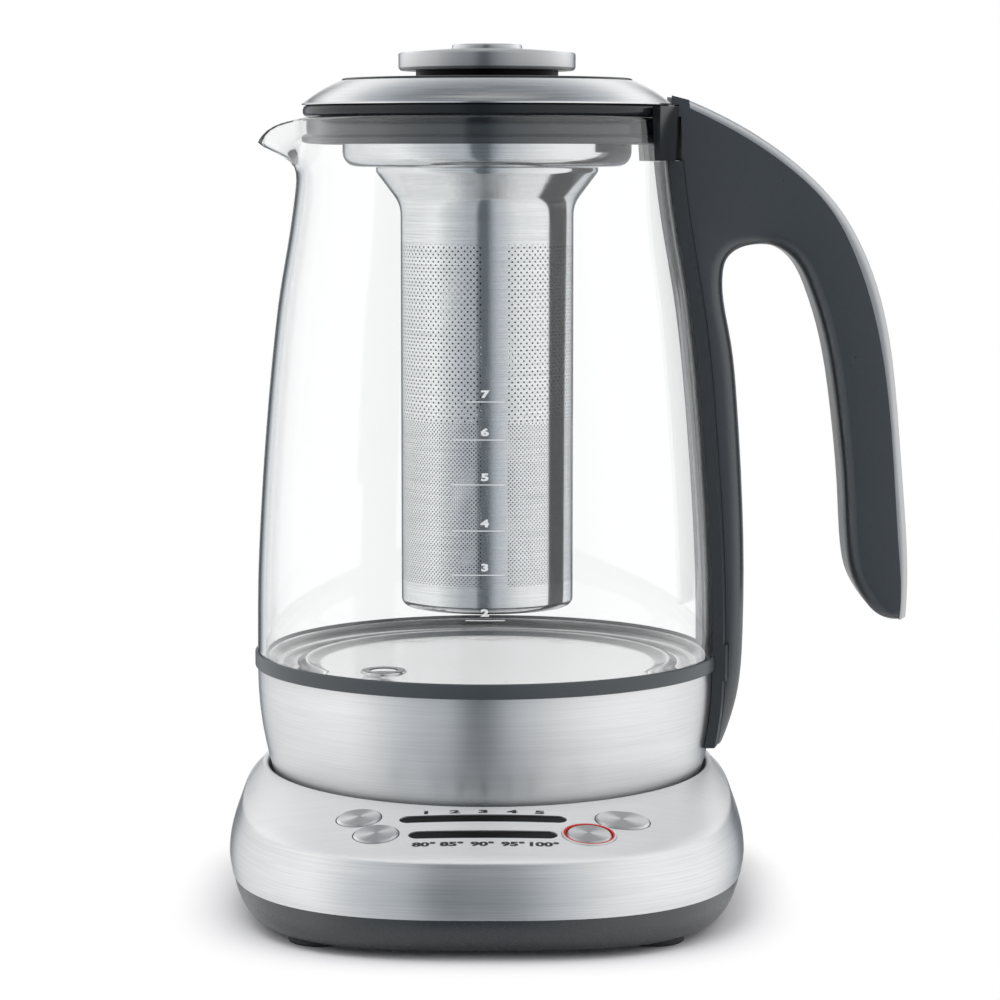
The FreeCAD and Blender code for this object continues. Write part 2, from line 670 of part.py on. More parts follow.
def panel_placement(spot):
    """Placement on the panel at (x, y), with its Z along the panel's normal."""
    x, y = spot
    upright_line = line(Vector(x, y, 0), Vector(x, y, RIM_HEIGHT * 2))
    point = upright_line.distToShape(PANEL)[1][0][1]
    u, v = PANEL.Surface.parameter(point)
    normal = PANEL.normalAt(u, v)
    if normal.z < 0:
        normal = normal * -1
    return FreeCAD.Placement(point, FreeCAD.Rotation(Vector(0, 0, 1), normal))


def on_panel(shape, spot):
    shape.Placement = panel_placement(spot)
    return shape


def stadium(length, width, bottom, top):
    """Bar with round ends along X, centred on the origin."""
    radius = width / 2
    half = (length - width) / 2
    bar = Part.makeBox(2 * half, width, top - bottom, Vector(-half, -radius, bottom))
    return joined([bar, rod(radius, bottom, top, -half), rod(radius, bottom, top, half)])


def button_outline(name, grow, bottom, top):
    """Button's plan, grown by a clearance, between two heights."""
    stretch = TIMER_BUTTON_STRETCH if name == "timer" else 0.0
    radius = BUTTON_RADIUS + grow
    if stretch:
        return stadium(2 * radius + stretch, 2 * radius, bottom, top)
    return rod(radius, bottom, top)


def hole_growth(name):
    """Space round a button in the steel: the start button has its red ring there."""
    return BUTTON_GAP + START_RING_WIDTH + FIT if name == "start" else BUTTON_GAP


# ------------------------------------------------------------------ base pieces
def base_cover():
    """Pressed steel cover with the recess for the jug and the openings of the panel."""
    outer = outer_body()
    shell = outer.cut(base_body(SHEET, SHEET))
    collar = tube(RECESS_RADIUS + SHEET, RECESS_RADIUS, RIM_HEIGHT - COLLAR_DEPTH, RIM_HEIGHT * 1.5)
    cover = shell.fuse(collar.common(outer))
    cover = cover.cut(rod(RECESS_RADIUS, 0, RIM_HEIGHT * 2))
    cover = cover.makeFillet(RIM_ROUNDING, [edge for edge in cover.Edges if is_recess_rim(edge)])
    return with_cuts(cover, panel_openings())


def is_recess_rim(edge):
    box = edge.BoundBox
    return box.ZMin > RIM_HEIGHT - COLLAR_DEPTH + 1 and abs(box.YMax - RECESS_RADIUS) < FIT


def panel_openings():
    reach = SHEET * 3
    holes = []
    for name, spot in BUTTONS.items():
        holes.append(on_panel(button_outline(name, hole_growth(name), -reach, reach), spot))
    for centre, length, width in (TIME_BAR, TEMP_BAR):
        holes.append(on_panel(stadium(length, width, -reach, reach), centre))
    return holes


def light_bar(centre, length, width):
    """Dark window that lies in its slot a little below the steel."""
    window = on_panel(stadium(length - 2 * FIT, width - 2 * FIT, -SHEET * 3, SHEET * 3), centre)
    window = window.common(moved(top_frustum(0.0, 0.0), 0, 0, -BAR_SINK))
    return window.cut(top_frustum(SHEET, SHEET))


def panel_carrier():
    """Plastic plate under the steel that guides the buttons and carries the windows."""
    under_steel = moved(top_frustum(SHEET, SHEET), 0, 0, -FIT)
    depth = CREASE_FRONT - RECESS_RADIUS * CARRIER_BACK_SHARE
    corner_point = Vector(-CARRIER_HALF_WIDTH, -CREASE_FRONT, 0)
    region = Part.makeBox(2 * CARRIER_HALF_WIDTH, depth, RIM_HEIGHT, corner_point)
    region = region.common(plan_prism(-CARRIER_MARGIN, 0, RIM_HEIGHT))
    plate = under_steel.common(region).cut(moved(under_steel, 0, 0, -CARRIER_THICKNESS))
    top = -(SHEET + FIT + CARRIER_THICKNESS / 2)
    guides = []
    bores = []
    for name, spot in BUTTONS.items():
        guides.append(on_panel(button_outline(name, BUTTON_GAP + GUIDE_WALL, top - GUIDE_LENGTH, top), spot))
        bores.append(on_panel(button_outline(name, BUTTON_GAP, -BOARD_DEPTH, 1.0), spot))
    for centre, row in lamp_rows():
        for x in row:
            opening = block((LAMP_LENGTH + 2 * FIT, LAMP_WIDTH + 2 * FIT, 2 * BOARD_DEPTH), x, centre, 0)
            bores.append(on_board(opening))
    bores.append(rod(RECESS_RADIUS + SHEET + FIT, 0, RIM_HEIGHT * 2))
    return with_cuts(with_added(plate, guides), bores)


def board_placement():
    return panel_placement(behind_front((0.0, BOARD_SET_BACK)))


def on_board(shape):
    """Place a shape drawn on the top of the control board."""
    place = board_placement()
    down = FreeCAD.Placement(Vector(0, 0, -BOARD_DEPTH), FreeCAD.Rotation())
    shape.Placement = place.multiply(down)
    return shape


def board_spot(x, y):
    """Board coordinates under a panel point, found along the board's normal."""
    point = panel_placement((x, y)).Base
    return board_placement().inverse().multVec(point)


def lamp_rows():
    """Board Y and the X of each lamp, for both light bars."""
    rows = []
    for centre, length, width in (TIME_BAR, TEMP_BAR):
        spot = board_spot(*centre)
        half = (LAMP_COUNT - 1) / 2
        rows.append((spot.y, [spot.x + LAMP_PITCH * (index - half) for index in range(LAMP_COUNT)]))
    return rows


def lamps(number):
    """Light pipes of one bar, from the board to the window."""
    centre, row = lamp_rows()[number]
    under_window = moved(top_frustum(SHEET, SHEET), 0, 0, -FIT)
    pipes = []
    for x in row:
        pipe = on_board(block((LAMP_LENGTH, LAMP_WIDTH, BOARD_DEPTH * 2), x, centre, 0))
        pipes.append(pipe.common(under_window.fuse(moved(under_window, 0, 0, -BOARD_DEPTH))))
    return group(pipes)


def control_board():
    return on_board(block((BOARD_LENGTH, BOARD_WIDTH, BOARD_THICKNESS), 0, 0, -BOARD_THICKNESS))


def stem_foot(spot):
    """Where a button's axis meets the plane just above the plunger, and the stem's length to it."""
    place = panel_placement(spot)
    level = board_placement().inverse().multVec(place.Base).z + BOARD_DEPTH
    tilt = board_placement().Rotation.multVec(Vector(0, 0, 1)).dot(place.Rotation.multVec(Vector(0, 0, 1)))
    length = (level - SWITCH_HEIGHT - PLUNGER_HEIGHT - PLUNGER_GAP - BUTTON_TRAVEL) / tilt
    return place.multVec(Vector(0, 0, -length)), length


def tact_switches():
    switches = []
    for spot in BUTTONS.values():
        foot, length = stem_foot(spot)
        local = board_placement().inverse().multVec(foot)
        body = block((SWITCH_SIZE, SWITCH_SIZE, SWITCH_HEIGHT), local.x, local.y, 0)
        plunger = rod(PLUNGER_RADIUS, SWITCH_HEIGHT / 2, SWITCH_HEIGHT + PLUNGER_HEIGHT, local.x, local.y)
        switches.append(on_board(joined([body, plunger])))
    return group(switches)


def button(name):
    """Turned metal cap with a stem that reaches down to its switch."""
    foot, length = stem_foot(BUTTONS[name])
    cap = button_outline(name, 0.0, BUTTON_PROUD - BUTTON_HEIGHT, BUTTON_PROUD)
    rim = [edge for edge in cap.Edges if abs(edge.BoundBox.ZMin - BUTTON_PROUD) < 1e-6]
    cap = cap.makeChamfer(BUTTON_CHAMFER, rim)
    stem = rod(STEM_RADIUS, -length, BUTTON_PROUD - BUTTON_HEIGHT / 2)
    return on_panel(joined([cap, stem]), BUTTONS[name])


def start_ring():
    """Red ring that lights round the start button."""
    inner = BUTTON_RADIUS + BUTTON_GAP
    outer = inner + START_RING_WIDTH
    return on_panel(tube(outer, inner, -SHEET, START_RING_PROUD), BUTTONS["start"])


def beeper():
    return on_board(rod(BEEPER_RADIUS, -BOARD_THICKNESS - BEEPER_HEIGHT, -BOARD_THICKNESS, BEEPER_X, 0))


def post_places():
    step = POST_CIRCLE / math.sqrt(2)
    return mirrored_places(step, -step, step)


def foot_places():
    return mirrored_places(CREASE_HALF_WIDTH - FOOT_SIDE_INSET, FOOT_FRONT_INSET - CREASE_FRONT,
                           CREASE_BACK - FOOT_BACK_INSET)


def power_board_places():
    x = POWER_BOARD_LENGTH / 2 - STANDOFF_INSET
    return mirrored_places(x, POWER_BOARD_NEAR + STANDOFF_INSET, POWER_BOARD_FAR - STANDOFF_INSET)


def pan_outside():
    middle_power = (CORNER_POWER + PAN_CORNER_POWER) / 2
    return Part.makeLoft([
        plan_wire(-PAN_TUCK, FOOT_HEIGHT, PAN_CORNER_POWER),
        plan_wire(-PAN_TUCK * 0.45, SEAM_Z - 0.85 * PAN_HEIGHT, PAN_CORNER_POWER),
        plan_wire(SEAM_BULGE * 0.3, SEAM_Z - 0.5 * PAN_HEIGHT, middle_power),
        plan_wire(SEAM_BULGE - SEAM_STEP, SEAM_Z),
    ], True, False)


def pan_inside():
    middle_power = (CORNER_POWER + PAN_CORNER_POWER) / 2
    return Part.makeLoft([
        plan_wire(-PAN_TUCK - PAN_WALL, PAN_FLOOR_Z, PAN_CORNER_POWER),
        plan_wire(SEAM_BULGE * 0.3 - PAN_WALL, SEAM_Z - 0.5 * PAN_HEIGHT, middle_power),
        plan_wire(SEAM_BULGE - SEAM_STEP - PAN_WALL, SEAM_Z),
    ], True, False)


def plan_prism(growth, bottom, top):
    face = Part.Face(plan_wire(growth, bottom))
    return face.extrude(Vector(0, 0, top - bottom))


def base_pan():
    """Plastic pan with the posts of the cradle, the stand-offs of the power board and the gland's hole."""
    outside = pan_outside()
    pan = outside.cut(pan_inside())
    root = PAN_FLOOR_Z - PAN_ROOT
    board_seat = PAN_FLOOR_Z + STANDOFF_HEIGHT
    posts = [rod(POST_RADIUS, root, CRADLE_BOTTOM_Z, x, y) for x, y in post_places()]
    standoffs = [rod(STANDOFF_RADIUS, root, board_seat, x, y) for x, y in power_board_places()]
    pan = with_added(pan, [pan_lip(), gland_boss().common(outside)] + posts + standoffs)
    return with_cuts(pan, pan_holes())


def pan_lip():
    """Lip of the pan that stands inside the steel cover."""
    growth = SEAM_BULGE - SHEET - FIT * 2
    lip = plan_prism(growth, SEAM_Z - PAN_ROOT, SEAM_Z + PAN_LIP)
    return lip.cut(plan_prism(growth - PAN_LIP_WALL, 0, SEAM_Z * 2))


def gland_boss():
    """Block behind the wall of the pan that holds the gland."""
    margin = GLAND_BOSS_MARGIN
    size = (2 * (GLAND_FLANGE_RADIUS + margin), GLAND_LENGTH, PAN_HEIGHT - 2 * margin)
    return block(size, 0, GLAND_FACE_Y - GLAND_LENGTH / 2 + margin, FOOT_HEIGHT + margin)


def gland_bore(radius, start):
    """Cylinder along Y on the gland's axis, from a start far out through the back."""
    return Part.makeCylinder(radius, 3 * GLAND_LENGTH, Vector(0, start, GLAND_AXIS_Z), Vector(0, 1, 0))


def pan_holes():
    holes = []
    for x, y in post_places():
        holes.append(rod(SCREW_SHANK_RADIUS + FIT, 0, CRADLE_BOTTOM_Z + 1, x, y))
        holes.append(rod(SCREW_HEAD_RADIUS + FIT * 2, 0, FOOT_HEIGHT + SCREW_COUNTERBORE, x, y))
    for x, y in power_board_places():
        holes.append(rod(BOARD_SCREW_RADIUS + FIT / 2, PAN_FLOOR_Z, CRADLE_BOTTOM_Z, x, y))
    holes.append(gland_bore(GLAND_RADIUS + FIT, GLAND_FACE_Y - 2 * GLAND_LENGTH))
    holes.append(gland_bore(GLAND_FLANGE_RADIUS + FIT, GLAND_FACE_Y))
    return holes


def base_feet():
    """Rubber feet under the corners of the pan."""
    feet = []
    for x, y in foot_places():
        foot = turned([(0, 0), (FOOT_RADIUS, 0, FOOT_ROUNDING), (FOOT_RADIUS, FOOT_HEIGHT), (0, FOOT_HEIGHT)])
        foot.translate(Vector(x, y, 0))
        feet.append(foot)
    return group(feet)


def base_screws():
    """Screws from below, through the posts of the pan into the cradle."""
    seat = FOOT_HEIGHT + SCREW_COUNTERBORE
    screws = []
    for x, y in post_places():
        shank = rod(SCREW_SHANK_RADIUS, seat, RECESS_Z - CRADLE_SCREW_SKIN - FIT * 2, x, y)
        head = rod(SCREW_HEAD_RADIUS, seat - SCREW_HEAD_HEIGHT, seat, x, y)
        screws.append(joined([shank, head]))
    return group(screws)


def cradle():
    """Plastic floor of the recess, which carries the jug and the socket."""
    outer = RECESS_RADIUS + SHEET
    wall_inner = RECESS_RADIUS - FIT - CRADLE_WALL_THICKNESS
    collar_z = RIM_HEIGHT - COLLAR_DEPTH
    dish = turned([
        (SOCKET_RADIUS + FIT * 2, CRADLE_BOTTOM_Z), (outer, CRADLE_BOTTOM_Z), (outer, collar_z),
        (RECESS_RADIUS - FIT, collar_z), (RECESS_RADIUS - FIT, RECESS_Z + CRADLE_WALL),
        (wall_inner, RECESS_Z + CRADLE_WALL), (wall_inner, RECESS_Z), (SOCKET_RADIUS + FIT * 2, RECESS_Z),
    ])
    hole_top = RECESS_Z - CRADLE_SCREW_SKIN
    holes = [rod(SCREW_SHANK_RADIUS + FIT, 0, hole_top, x, y) for x, y in post_places()]
    return dish.cut(holes)


def socket_housing():
    """Round male connector, plugged in at any angle."""
    flange_bottom = CRADLE_BOTTOM_Z - SOCKET_FLANGE_THICKNESS
    body = turned([
        (0, flange_bottom - SOCKET_BODY_DEPTH), (SOCKET_RADIUS, flange_bottom - SOCKET_BODY_DEPTH),
        (SOCKET_RADIUS, flange_bottom), (SOCKET_FLANGE_RADIUS, flange_bottom),
        (SOCKET_FLANGE_RADIUS, CRADLE_BOTTOM_Z), (SOCKET_RADIUS, CRADLE_BOTTOM_Z),
        (SOCKET_RADIUS, SOCKET_TOP_Z, SOCKET_ROUNDING), (0, SOCKET_TOP_Z),
    ])
    groove_bottom = SOCKET_TOP_Z - SOCKET_GROOVE_DEPTH
    groove = tube(SOCKET_GROOVE_OUTER, SOCKET_GROOVE_INNER, groove_bottom, SOCKET_TOP_Z + SOCKET_ROUNDING)
    bore = rod(PIN_BORE_RADIUS, groove_bottom, SOCKET_TOP_Z + SOCKET_ROUNDING)
    return body.cut([groove, bore])


def socket_ring():
    bottom = SOCKET_TOP_Z - SOCKET_GROOVE_DEPTH
    return tube(RING_CONTACT_RADIUS + CONTACT_WALL, RING_CONTACT_RADIUS, bottom, SOCKET_TOP_Z - CONTACT_DROP)


def socket_pin():
    bottom = SOCKET_TOP_Z - SOCKET_GROOVE_DEPTH
    top = SOCKET_TOP_Z - CONTACT_DROP
    return turned([(0, bottom), (PIN_RADIUS, bottom), (PIN_RADIUS, top, PIN_ROUNDING), (0, top)])


def power_board():
    size = (POWER_BOARD_LENGTH, POWER_BOARD_WIDTH, BOARD_THICKNESS)
    board = block(size, 0, POWER_BOARD_NEAR + POWER_BOARD_WIDTH / 2, POWER_BOARD_TOP_Z - BOARD_THICKNESS)
    holes = [rod(BOARD_SCREW_RADIUS + FIT, 0, RIM_HEIGHT, x, y) for x, y in power_board_places()]
    return board.cut(holes)


def board_screws():
    length = BOARD_THICKNESS + STANDOFF_HEIGHT - BOARD_SCREW_RADIUS
    screws = []
    for x, y in power_board_places():
        screws.append(screw(BOARD_SCREW_RADIUS, BOARD_SCREW_HEAD_RADIUS, BOARD_SCREW_HEAD_HEIGHT, length,
                            x, y, POWER_BOARD_TOP_Z))
    return group(screws)


def below_cradle(headroom):
    """Height of a component that stands on the power board and ends this far under the cradle."""
    return CRADLE_BOTTOM_Z - headroom - POWER_BOARD_TOP_Z


def relay():
    y = POWER_BOARD_FAR - RELAY_SET_BACK - RELAY_WIDTH / 2
    return block((RELAY_LENGTH, RELAY_WIDTH, below_cradle(RELAY_HEADROOM)), RELAY_X, y, POWER_BOARD_TOP_Z)


def supply_block():
    y = POWER_BOARD_NEAR + SUPPLY_SET_BACK + SUPPLY_WIDTH / 2
    return block((SUPPLY_LENGTH, SUPPLY_WIDTH, below_cradle(SUPPLY_HEADROOM)), SUPPLY_X, y, POWER_BOARD_TOP_Z)


def capacitor():
    x = POWER_BOARD_LENGTH / 4
    y = POWER_BOARD_FAR - 2 * CAPACITOR_RADIUS
    top = POWER_BOARD_TOP_Z + below_cradle(CAPACITOR_HEADROOM)
    return rod(CAPACITOR_RADIUS, POWER_BOARD_TOP_Z, top, x, y)


def mains_gland():
    """Plastic bush in the back of the pan, through which the mains cord would leave."""
    across = Vector(0, 1, 0)
    inner_end = Vector(0, GLAND_FACE_Y - GLAND_LENGTH, GLAND_AXIS_Z)
    body = Part.makeCylinder(GLAND_RADIUS, GLAND_LENGTH, inner_end, across)
    face = Vector(0, GLAND_FACE_Y, GLAND_AXIS_Z)
    flange = Part.makeCylinder(GLAND_FLANGE_RADIUS, GLAND_FLANGE_THICKNESS, face, across)
    return joined([body, flange]).cut(gland_bore(GLAND_BORE, GLAND_FACE_Y - 2 * GLAND_LENGTH))


def base_wiring():
    """Leads from the power board to the socket and to the control board."""
    start_y = POWER_BOARD_NEAR + LEAD_INSET
    leads = []
    for step in (-1, 0, 1):
        leads.append(socket_lead(SOCKET_LEAD_X + step * SOCKET_LEAD_PITCH, start_y))
        leads.append(panel_lead(PANEL_LEAD_X + step * PANEL_LEAD_PITCH, start_y))
    return group(leads)


def socket_lead(x, start_y):
    """Lead over the front edge of the power board, beside the socket and in under it."""
    above_board = POWER_BOARD_TOP_Z + SOCKET_LEAD_RISE
    beside = SOCKET_RADIUS + LEAD_RADIUS + PLUG_GAP
    under = CRADLE_BOTTOM_Z - SOCKET_FLANGE_THICKNESS - SOCKET_BODY_DEPTH - LEAD_RADIUS
    return lead([(x, start_y, POWER_BOARD_TOP_Z), (x, start_y, above_board), (x, beside, above_board),
                 (x, beside, under), (x, SOCKET_LEAD_END, under)])


def panel_lead(x, start_y):
    """Lead from under the power board along the floor of the pan up to the control board."""
    board_low = board_placement().multVec(Vector(0, 0, -BOARD_DEPTH - BOARD_THICKNESS))
    floor_z = PAN_FLOOR_Z + LEAD_RADIUS
    return lead([(x, start_y, PAN_FLOOR_Z + STANDOFF_HEIGHT), (x, start_y, floor_z),
                 (x, board_low.y, floor_z), (x, board_low.y, board_low.z - LEAD_RADIUS / 2)])


# ------------------------------------------------------------------ jug plug
def jug_plug():
    """Round female connector under the jug."""
    seat = RECESS_Z + PLUG_SEAT_RISE
    roof = PLUG_ROOF_Z + PLUG_ROOF
    return turned([
        (PLUG_CAVITY_RADIUS, RECESS_Z), (PLUG_RADIUS, RECESS_Z), (PLUG_RADIUS, seat),
        (PLUG_RADIUS + PLUG_FLANGE, seat), (PLUG_RADIUS + PLUG_FLANGE, seat + PLUG_FLANGE_THICKNESS),
        (PLUG_RADIUS, seat + PLUG_FLANGE_THICKNESS), (PLUG_RADIUS, roof, PLUG_ROUNDING), (0, roof),
        (0, PLUG_ROOF_Z),
        (PLUG_CAVITY_RADIUS, PLUG_ROOF_Z),
    ])


def plug_contacts():
    """Sleeves of the plug: one goes round the ring contact, one round the pin."""
    bottom = SOCKET_TOP_Z - SOCKET_GROOVE_DEPTH / 2
    outer = RING_CONTACT_RADIUS + CONTACT_WALL + RUNNING_GAP
    pin = PIN_RADIUS + RUNNING_GAP
    return group([tube(outer + CONTACT_WALL / 2, outer, bottom, PLUG_ROOF_Z),
                  tube(pin + CONTACT_WALL, pin, bottom, PLUG_ROOF_Z)])


# ------------------------------------------------------------------ jug pieces
def glass_body(offset):
    """Solid inside the glass outline drawn in by offset."""
    points = glass_points(offset)
    foot, head = points[0], points[-1]
    foot_centre = Vector(0, 0, foot.z)
    head_centre = Vector(0, 0, head.z)
    return turned_edges([curve(points), line(foot, foot_centre), line(foot_centre, head_centre),
                         line(head_centre, head)])


def spout_section(reach, drop, width):
    """Half-oval cross-section of the spout, in a plane across X, up to a level above the rim."""
    x = -(GLASS_NECK_RADIUS + reach)
    half = width / 2
    head = RIM_Z + SPOUT_HEADROOM
    shoulder = RIM_Z - drop + (drop + SPOUT_HEADROOM) * SPOUT_SHOULDER
    bulge = half * SPOUT_SHOULDER_WIDTH
    points = [Vector(x, -half, head), Vector(x, -bulge, shoulder), Vector(x, 0, RIM_Z - drop),
              Vector(x, bulge, shoulder), Vector(x, half, head)]
    return Part.Wire([curve(points), line(points[-1], points[0])])


def spout_body(wall):
    """Beak of the spout, drawn in by the wall for its inside."""
    sections = []
    for reach, drop, width in SPOUT_SECTIONS:
        sections.append(spout_section(reach, drop - wall, max(width - 2 * wall, wall)))
    return Part.makeLoft(sections, True, False)


def spout_top_cut():
    """Everything above the falling edge of the spout."""
    half = SPOUT_SECTIONS[0][2]
    high = RIM_Z + 2 * SPOUT_HEADROOM
    edge_points = [Vector(-(GLASS_NECK_RADIUS + reach), -half, RIM_Z - drop) for reach, drop in SPOUT_EDGE]
    start, tip = edge_points[0], edge_points[-1]
    beyond = Vector(tip.x - SPOUT_HEADROOM, -half, tip.z - SPOUT_HEADROOM)
    above_beyond = Vector(beyond.x, -half, high)
    above_start = Vector(start.x, -half, high)
    wire = Part.Wire([
        curve(edge_points), line(tip, beyond), line(beyond, above_beyond), line(above_beyond, above_start),
        line(above_start, start),
    ])
    return Part.Face(wire).extrude(Vector(0, 2 * half, 0))


def glass_jug():
    """Blown glass wall, open at the foot, with a spout drawn out of its rim."""
    outer = glass_body(0.0)
    inner = glass_body(-GLASS_WALL)
    beak = spout_body(0.0).cut(rod(GLASS_NECK_RADIUS * 2, RIM_Z, RIM_Z + 2 * SPOUT_HEADROOM))
    hollow = spout_body(GLASS_WALL)
    outside = outer.fuse(beak)
    glass = outside.cut(spout_top_cut())
    glass = glass.cut([inner, hollow])
    return glass.removeSplitter()


def glass_gasket():
    """Silicone ring under and inside the foot of the glass."""
    inner_glass = GLASS_FOOT_RADIUS - GLASS_WALL
    outer = GLASS_FOOT_RADIUS - GASKET_SET_BACK
    lip_outer = inner_glass - FIT
    lip_inner = lip_outer - GASKET_LIP
    tongue = inner_glass - GASKET_TONGUE
    lip_top = GLASS_FOOT_Z + GASKET_RISE
    return turned([
        (tongue, SKIRT_TOP_Z), (outer, SKIRT_TOP_Z), (outer, GLASS_FOOT_Z), (lip_outer, GLASS_FOOT_Z),
        (lip_outer, lip_top), (lip_inner, lip_top), (lip_inner, GLASS_FOOT_Z), (tongue, GLASS_FOOT_Z),
    ])


def foot_ring():
    """Dark ring that covers the joint of glass and skirt."""
    inner = GLASS_FOOT_RADIUS - FOOT_RING_OVERLAP
    outer = GLASS_FOOT_RADIUS + FOOT_RING_WIDTH
    top = SKIRT_TOP_Z + FOOT_RING_HEIGHT
    ring = turned([
        (inner, SKIRT_TOP_Z), (outer, SKIRT_TOP_Z, FOOT_RING_FOOT_ROUNDING),
        (outer, top, FOOT_RING_TOP_ROUNDING), (inner, top),
    ])
    return ring.cut(glass_body(FIT))


def floor_profile(offset):
    """Outline of the floor plate's top from its rim to its middle, lowered by offset."""
    rim = GLASS_FOOT_RADIUS - GLASS_WALL - FLOOR_RIM_INSET
    bead = FLOOR_FLAT_RADIUS + FLOOR_BEAD_WIDTH
    low = FLOOR_Z - offset
    rim_top = low + FLOOR_RIM_RISE
    channel = low + FLOOR_CHANNEL_RISE
    channel_start = rim - FLOOR_CHANNEL_WIDTH
    return [
        (rim, rim_top), (rim - FLOOR_RIM_SLANT[0], rim_top - FLOOR_RIM_SLANT[1]),
        (channel_start + FLOOR_CHANNEL_FLANK[0], channel + FLOOR_CHANNEL_FLANK[1], FLOOR_ROUNDING),
        (channel_start, channel, FLOOR_ROUNDING), (bead + FLOOR_BEAD_FLANK, channel, FLOOR_BEAD_ROUNDING),
        (bead - FLOOR_BEAD_CREST, low + FLOOR_BEAD_RISE, FLOOR_BEAD_ROUNDING),
        (FLOOR_FLAT_RADIUS, low, FLOOR_FLAT_ROUNDING),
    ]


def floor_plate():
    """Steel floor of the jug with a raised rim and a pressed bead."""
    upper = floor_profile(0.0)
    lower = floor_profile(FLOOR_SHEET)
    plate = turned(upper + [(0, FLOOR_Z), (0, FLOOR_Z - FLOOR_SHEET)] + lower[::-1])
    x, y = SENSOR_POSITION
    return plate.cut(rod(SENSOR_STEM_RADIUS + FIT, 0, RIM_Z, x, y))


def sensor_seal():
    x, y = SENSOR_POSITION
    outer = SENSOR_RADIUS - SENSOR_OVERHANG
    return tube(outer, SENSOR_STEM_RADIUS + FIT, FLOOR_Z, FLOOR_Z + SEAL_THICKNESS, x, y)


def temp_sensor():
    """Button of the water temperature sensor, with its stem through the floor."""
    x, y = SENSOR_POSITION
    seat = FLOOR_Z + SEAL_THICKNESS
    foot = seat - SENSOR_STEM_LENGTH
    head = seat + SENSOR_HEAD
    sensor = turned([
        (0, foot), (SENSOR_STEM_RADIUS, foot), (SENSOR_STEM_RADIUS, seat), (SENSOR_RADIUS, seat),
        (SENSOR_RADIUS, head, SENSOR_ROUNDING), (0, head),
    ])
    sensor.translate(Vector(x, y, 0))
    return sensor


def heat_plate():
    """Aluminium plate that spreads the heat under the floor."""
    x, y = SENSOR_POSITION
    plate = rod(HEAT_PLATE_RADIUS, HEAT_PLATE_TOP_Z - HEAT_PLATE_THICKNESS, HEAT_PLATE_TOP_Z)
    return plate.cut(rod(SENSOR_STEM_RADIUS + FIT, 0, RIM_Z, x, y))


def heating_element():
    """Sheathed element bent to an open ring, with its cold ends turned down."""
    radius = HEAT_PLATE_RADIUS - ELEMENT_INSET
    centre_z = HEAT_PLATE_TOP_Z - HEAT_PLATE_THICKNESS - ELEMENT_RADIUS
    centre = Vector(0, 0, centre_z)
    sweep = 360 - ELEMENT_GAP_ANGLE
    ring = Part.makeTorus(radius, ELEMENT_RADIUS, centre, Vector(0, 0, 1), 0, 360, sweep)
    ring.rotate(Vector(0, 0, 0), Vector(0, 0, 1), ELEMENT_GAP_ANGLE / 2)
    ends = []
    for x, y in cold_end_places():
        ends.append(Part.makeSphere(ELEMENT_RADIUS, Vector(x, y, centre_z)))
        ends.append(rod(COLD_END_RADIUS, centre_z - ELEMENT_RADIUS - COLD_END_LENGTH, centre_z, x, y))
    return joined([ring] + ends)


def cold_end_places():
    radius = HEAT_PLATE_RADIUS - ELEMENT_INSET
    angle = math.radians(ELEMENT_GAP_ANGLE / 2)
    return [(radius * math.cos(side * angle), radius * math.sin(side * angle)) for side in (-1, 1)]


def thermal_cutout():
    """Boil-dry cut-out against the heat plate."""
    top = HEAT_PLATE_TOP_Z - HEAT_PLATE_THICKNESS
    body = rod(CUTOUT_RADIUS, top - CUTOUT_HEIGHT, top)
    ear_size = (CUTOUT_EAR_LENGTH, CUTOUT_EAR_WIDTH, CUTOUT_EAR_THICKNESS)
    ears = block(ear_size, 0, 0, top - CUTOUT_EAR_THICKNESS)
    return joined([body, ears])


def skirt():
    """Brushed steel skirt under the glass, with a flange turned in at its top."""
    outer = skirt_curve(0.0)
    inner = skirt_curve(-SKIRT_SHEET)
    wall = turned_edges([curve(outer), curve(inner), line(outer[-1], inner[-1]), line(outer[0], inner[0])])
    flange_outer = SKIRT_TOP_RADIUS - SKIRT_SHEET / 2
    flange_inner = SKIRT_TOP_RADIUS - SKIRT_FLANGE
    flange = tube(flange_outer, flange_inner, SKIRT_TOP_Z - SKIRT_SHEET, SKIRT_TOP_Z)
    return joined([wall, flange])


def under_cover():
    """Plastic cover under the jug, with the seat of the plug and the bosses of its screws."""
    outer = skirt_radius(SKIRT_BOTTOM_Z) - SKIRT_SHEET - FIT
    wall = outer - UNDER_COVER_WALL
    floor_top = RECESS_Z + UNDER_COVER_THICKNESS
    rim_top = floor_top + UNDER_COVER_RIM
    hole = PLUG_RADIUS + RUNNING_GAP
    seat_outer = hole + UNDER_COVER_SEAT_WALL
    seat_top = RECESS_Z + PLUG_SEAT_RISE
    dish = turned([
        (hole, RECESS_Z), (outer, RECESS_Z, UNDER_COVER_ROUNDING), (outer, rim_top), (wall, rim_top),
        (wall, floor_top), (seat_outer, floor_top), (seat_outer, seat_top), (hole, seat_top),
    ])
    return dish.cut([rod(SCREW_SHANK_RADIUS + FIT, 0, RIM_Z, x, y) for x, y in cover_screw_places()])


def cover_screw_places():
    circle = HEAT_PLATE_RADIUS - COVER_SCREW_INSET
    places = []
    for degrees in COVER_SCREW_ANGLES:
        angle = math.radians(degrees)
        places.append((circle * math.cos(angle), circle * math.sin(angle)))
    return places


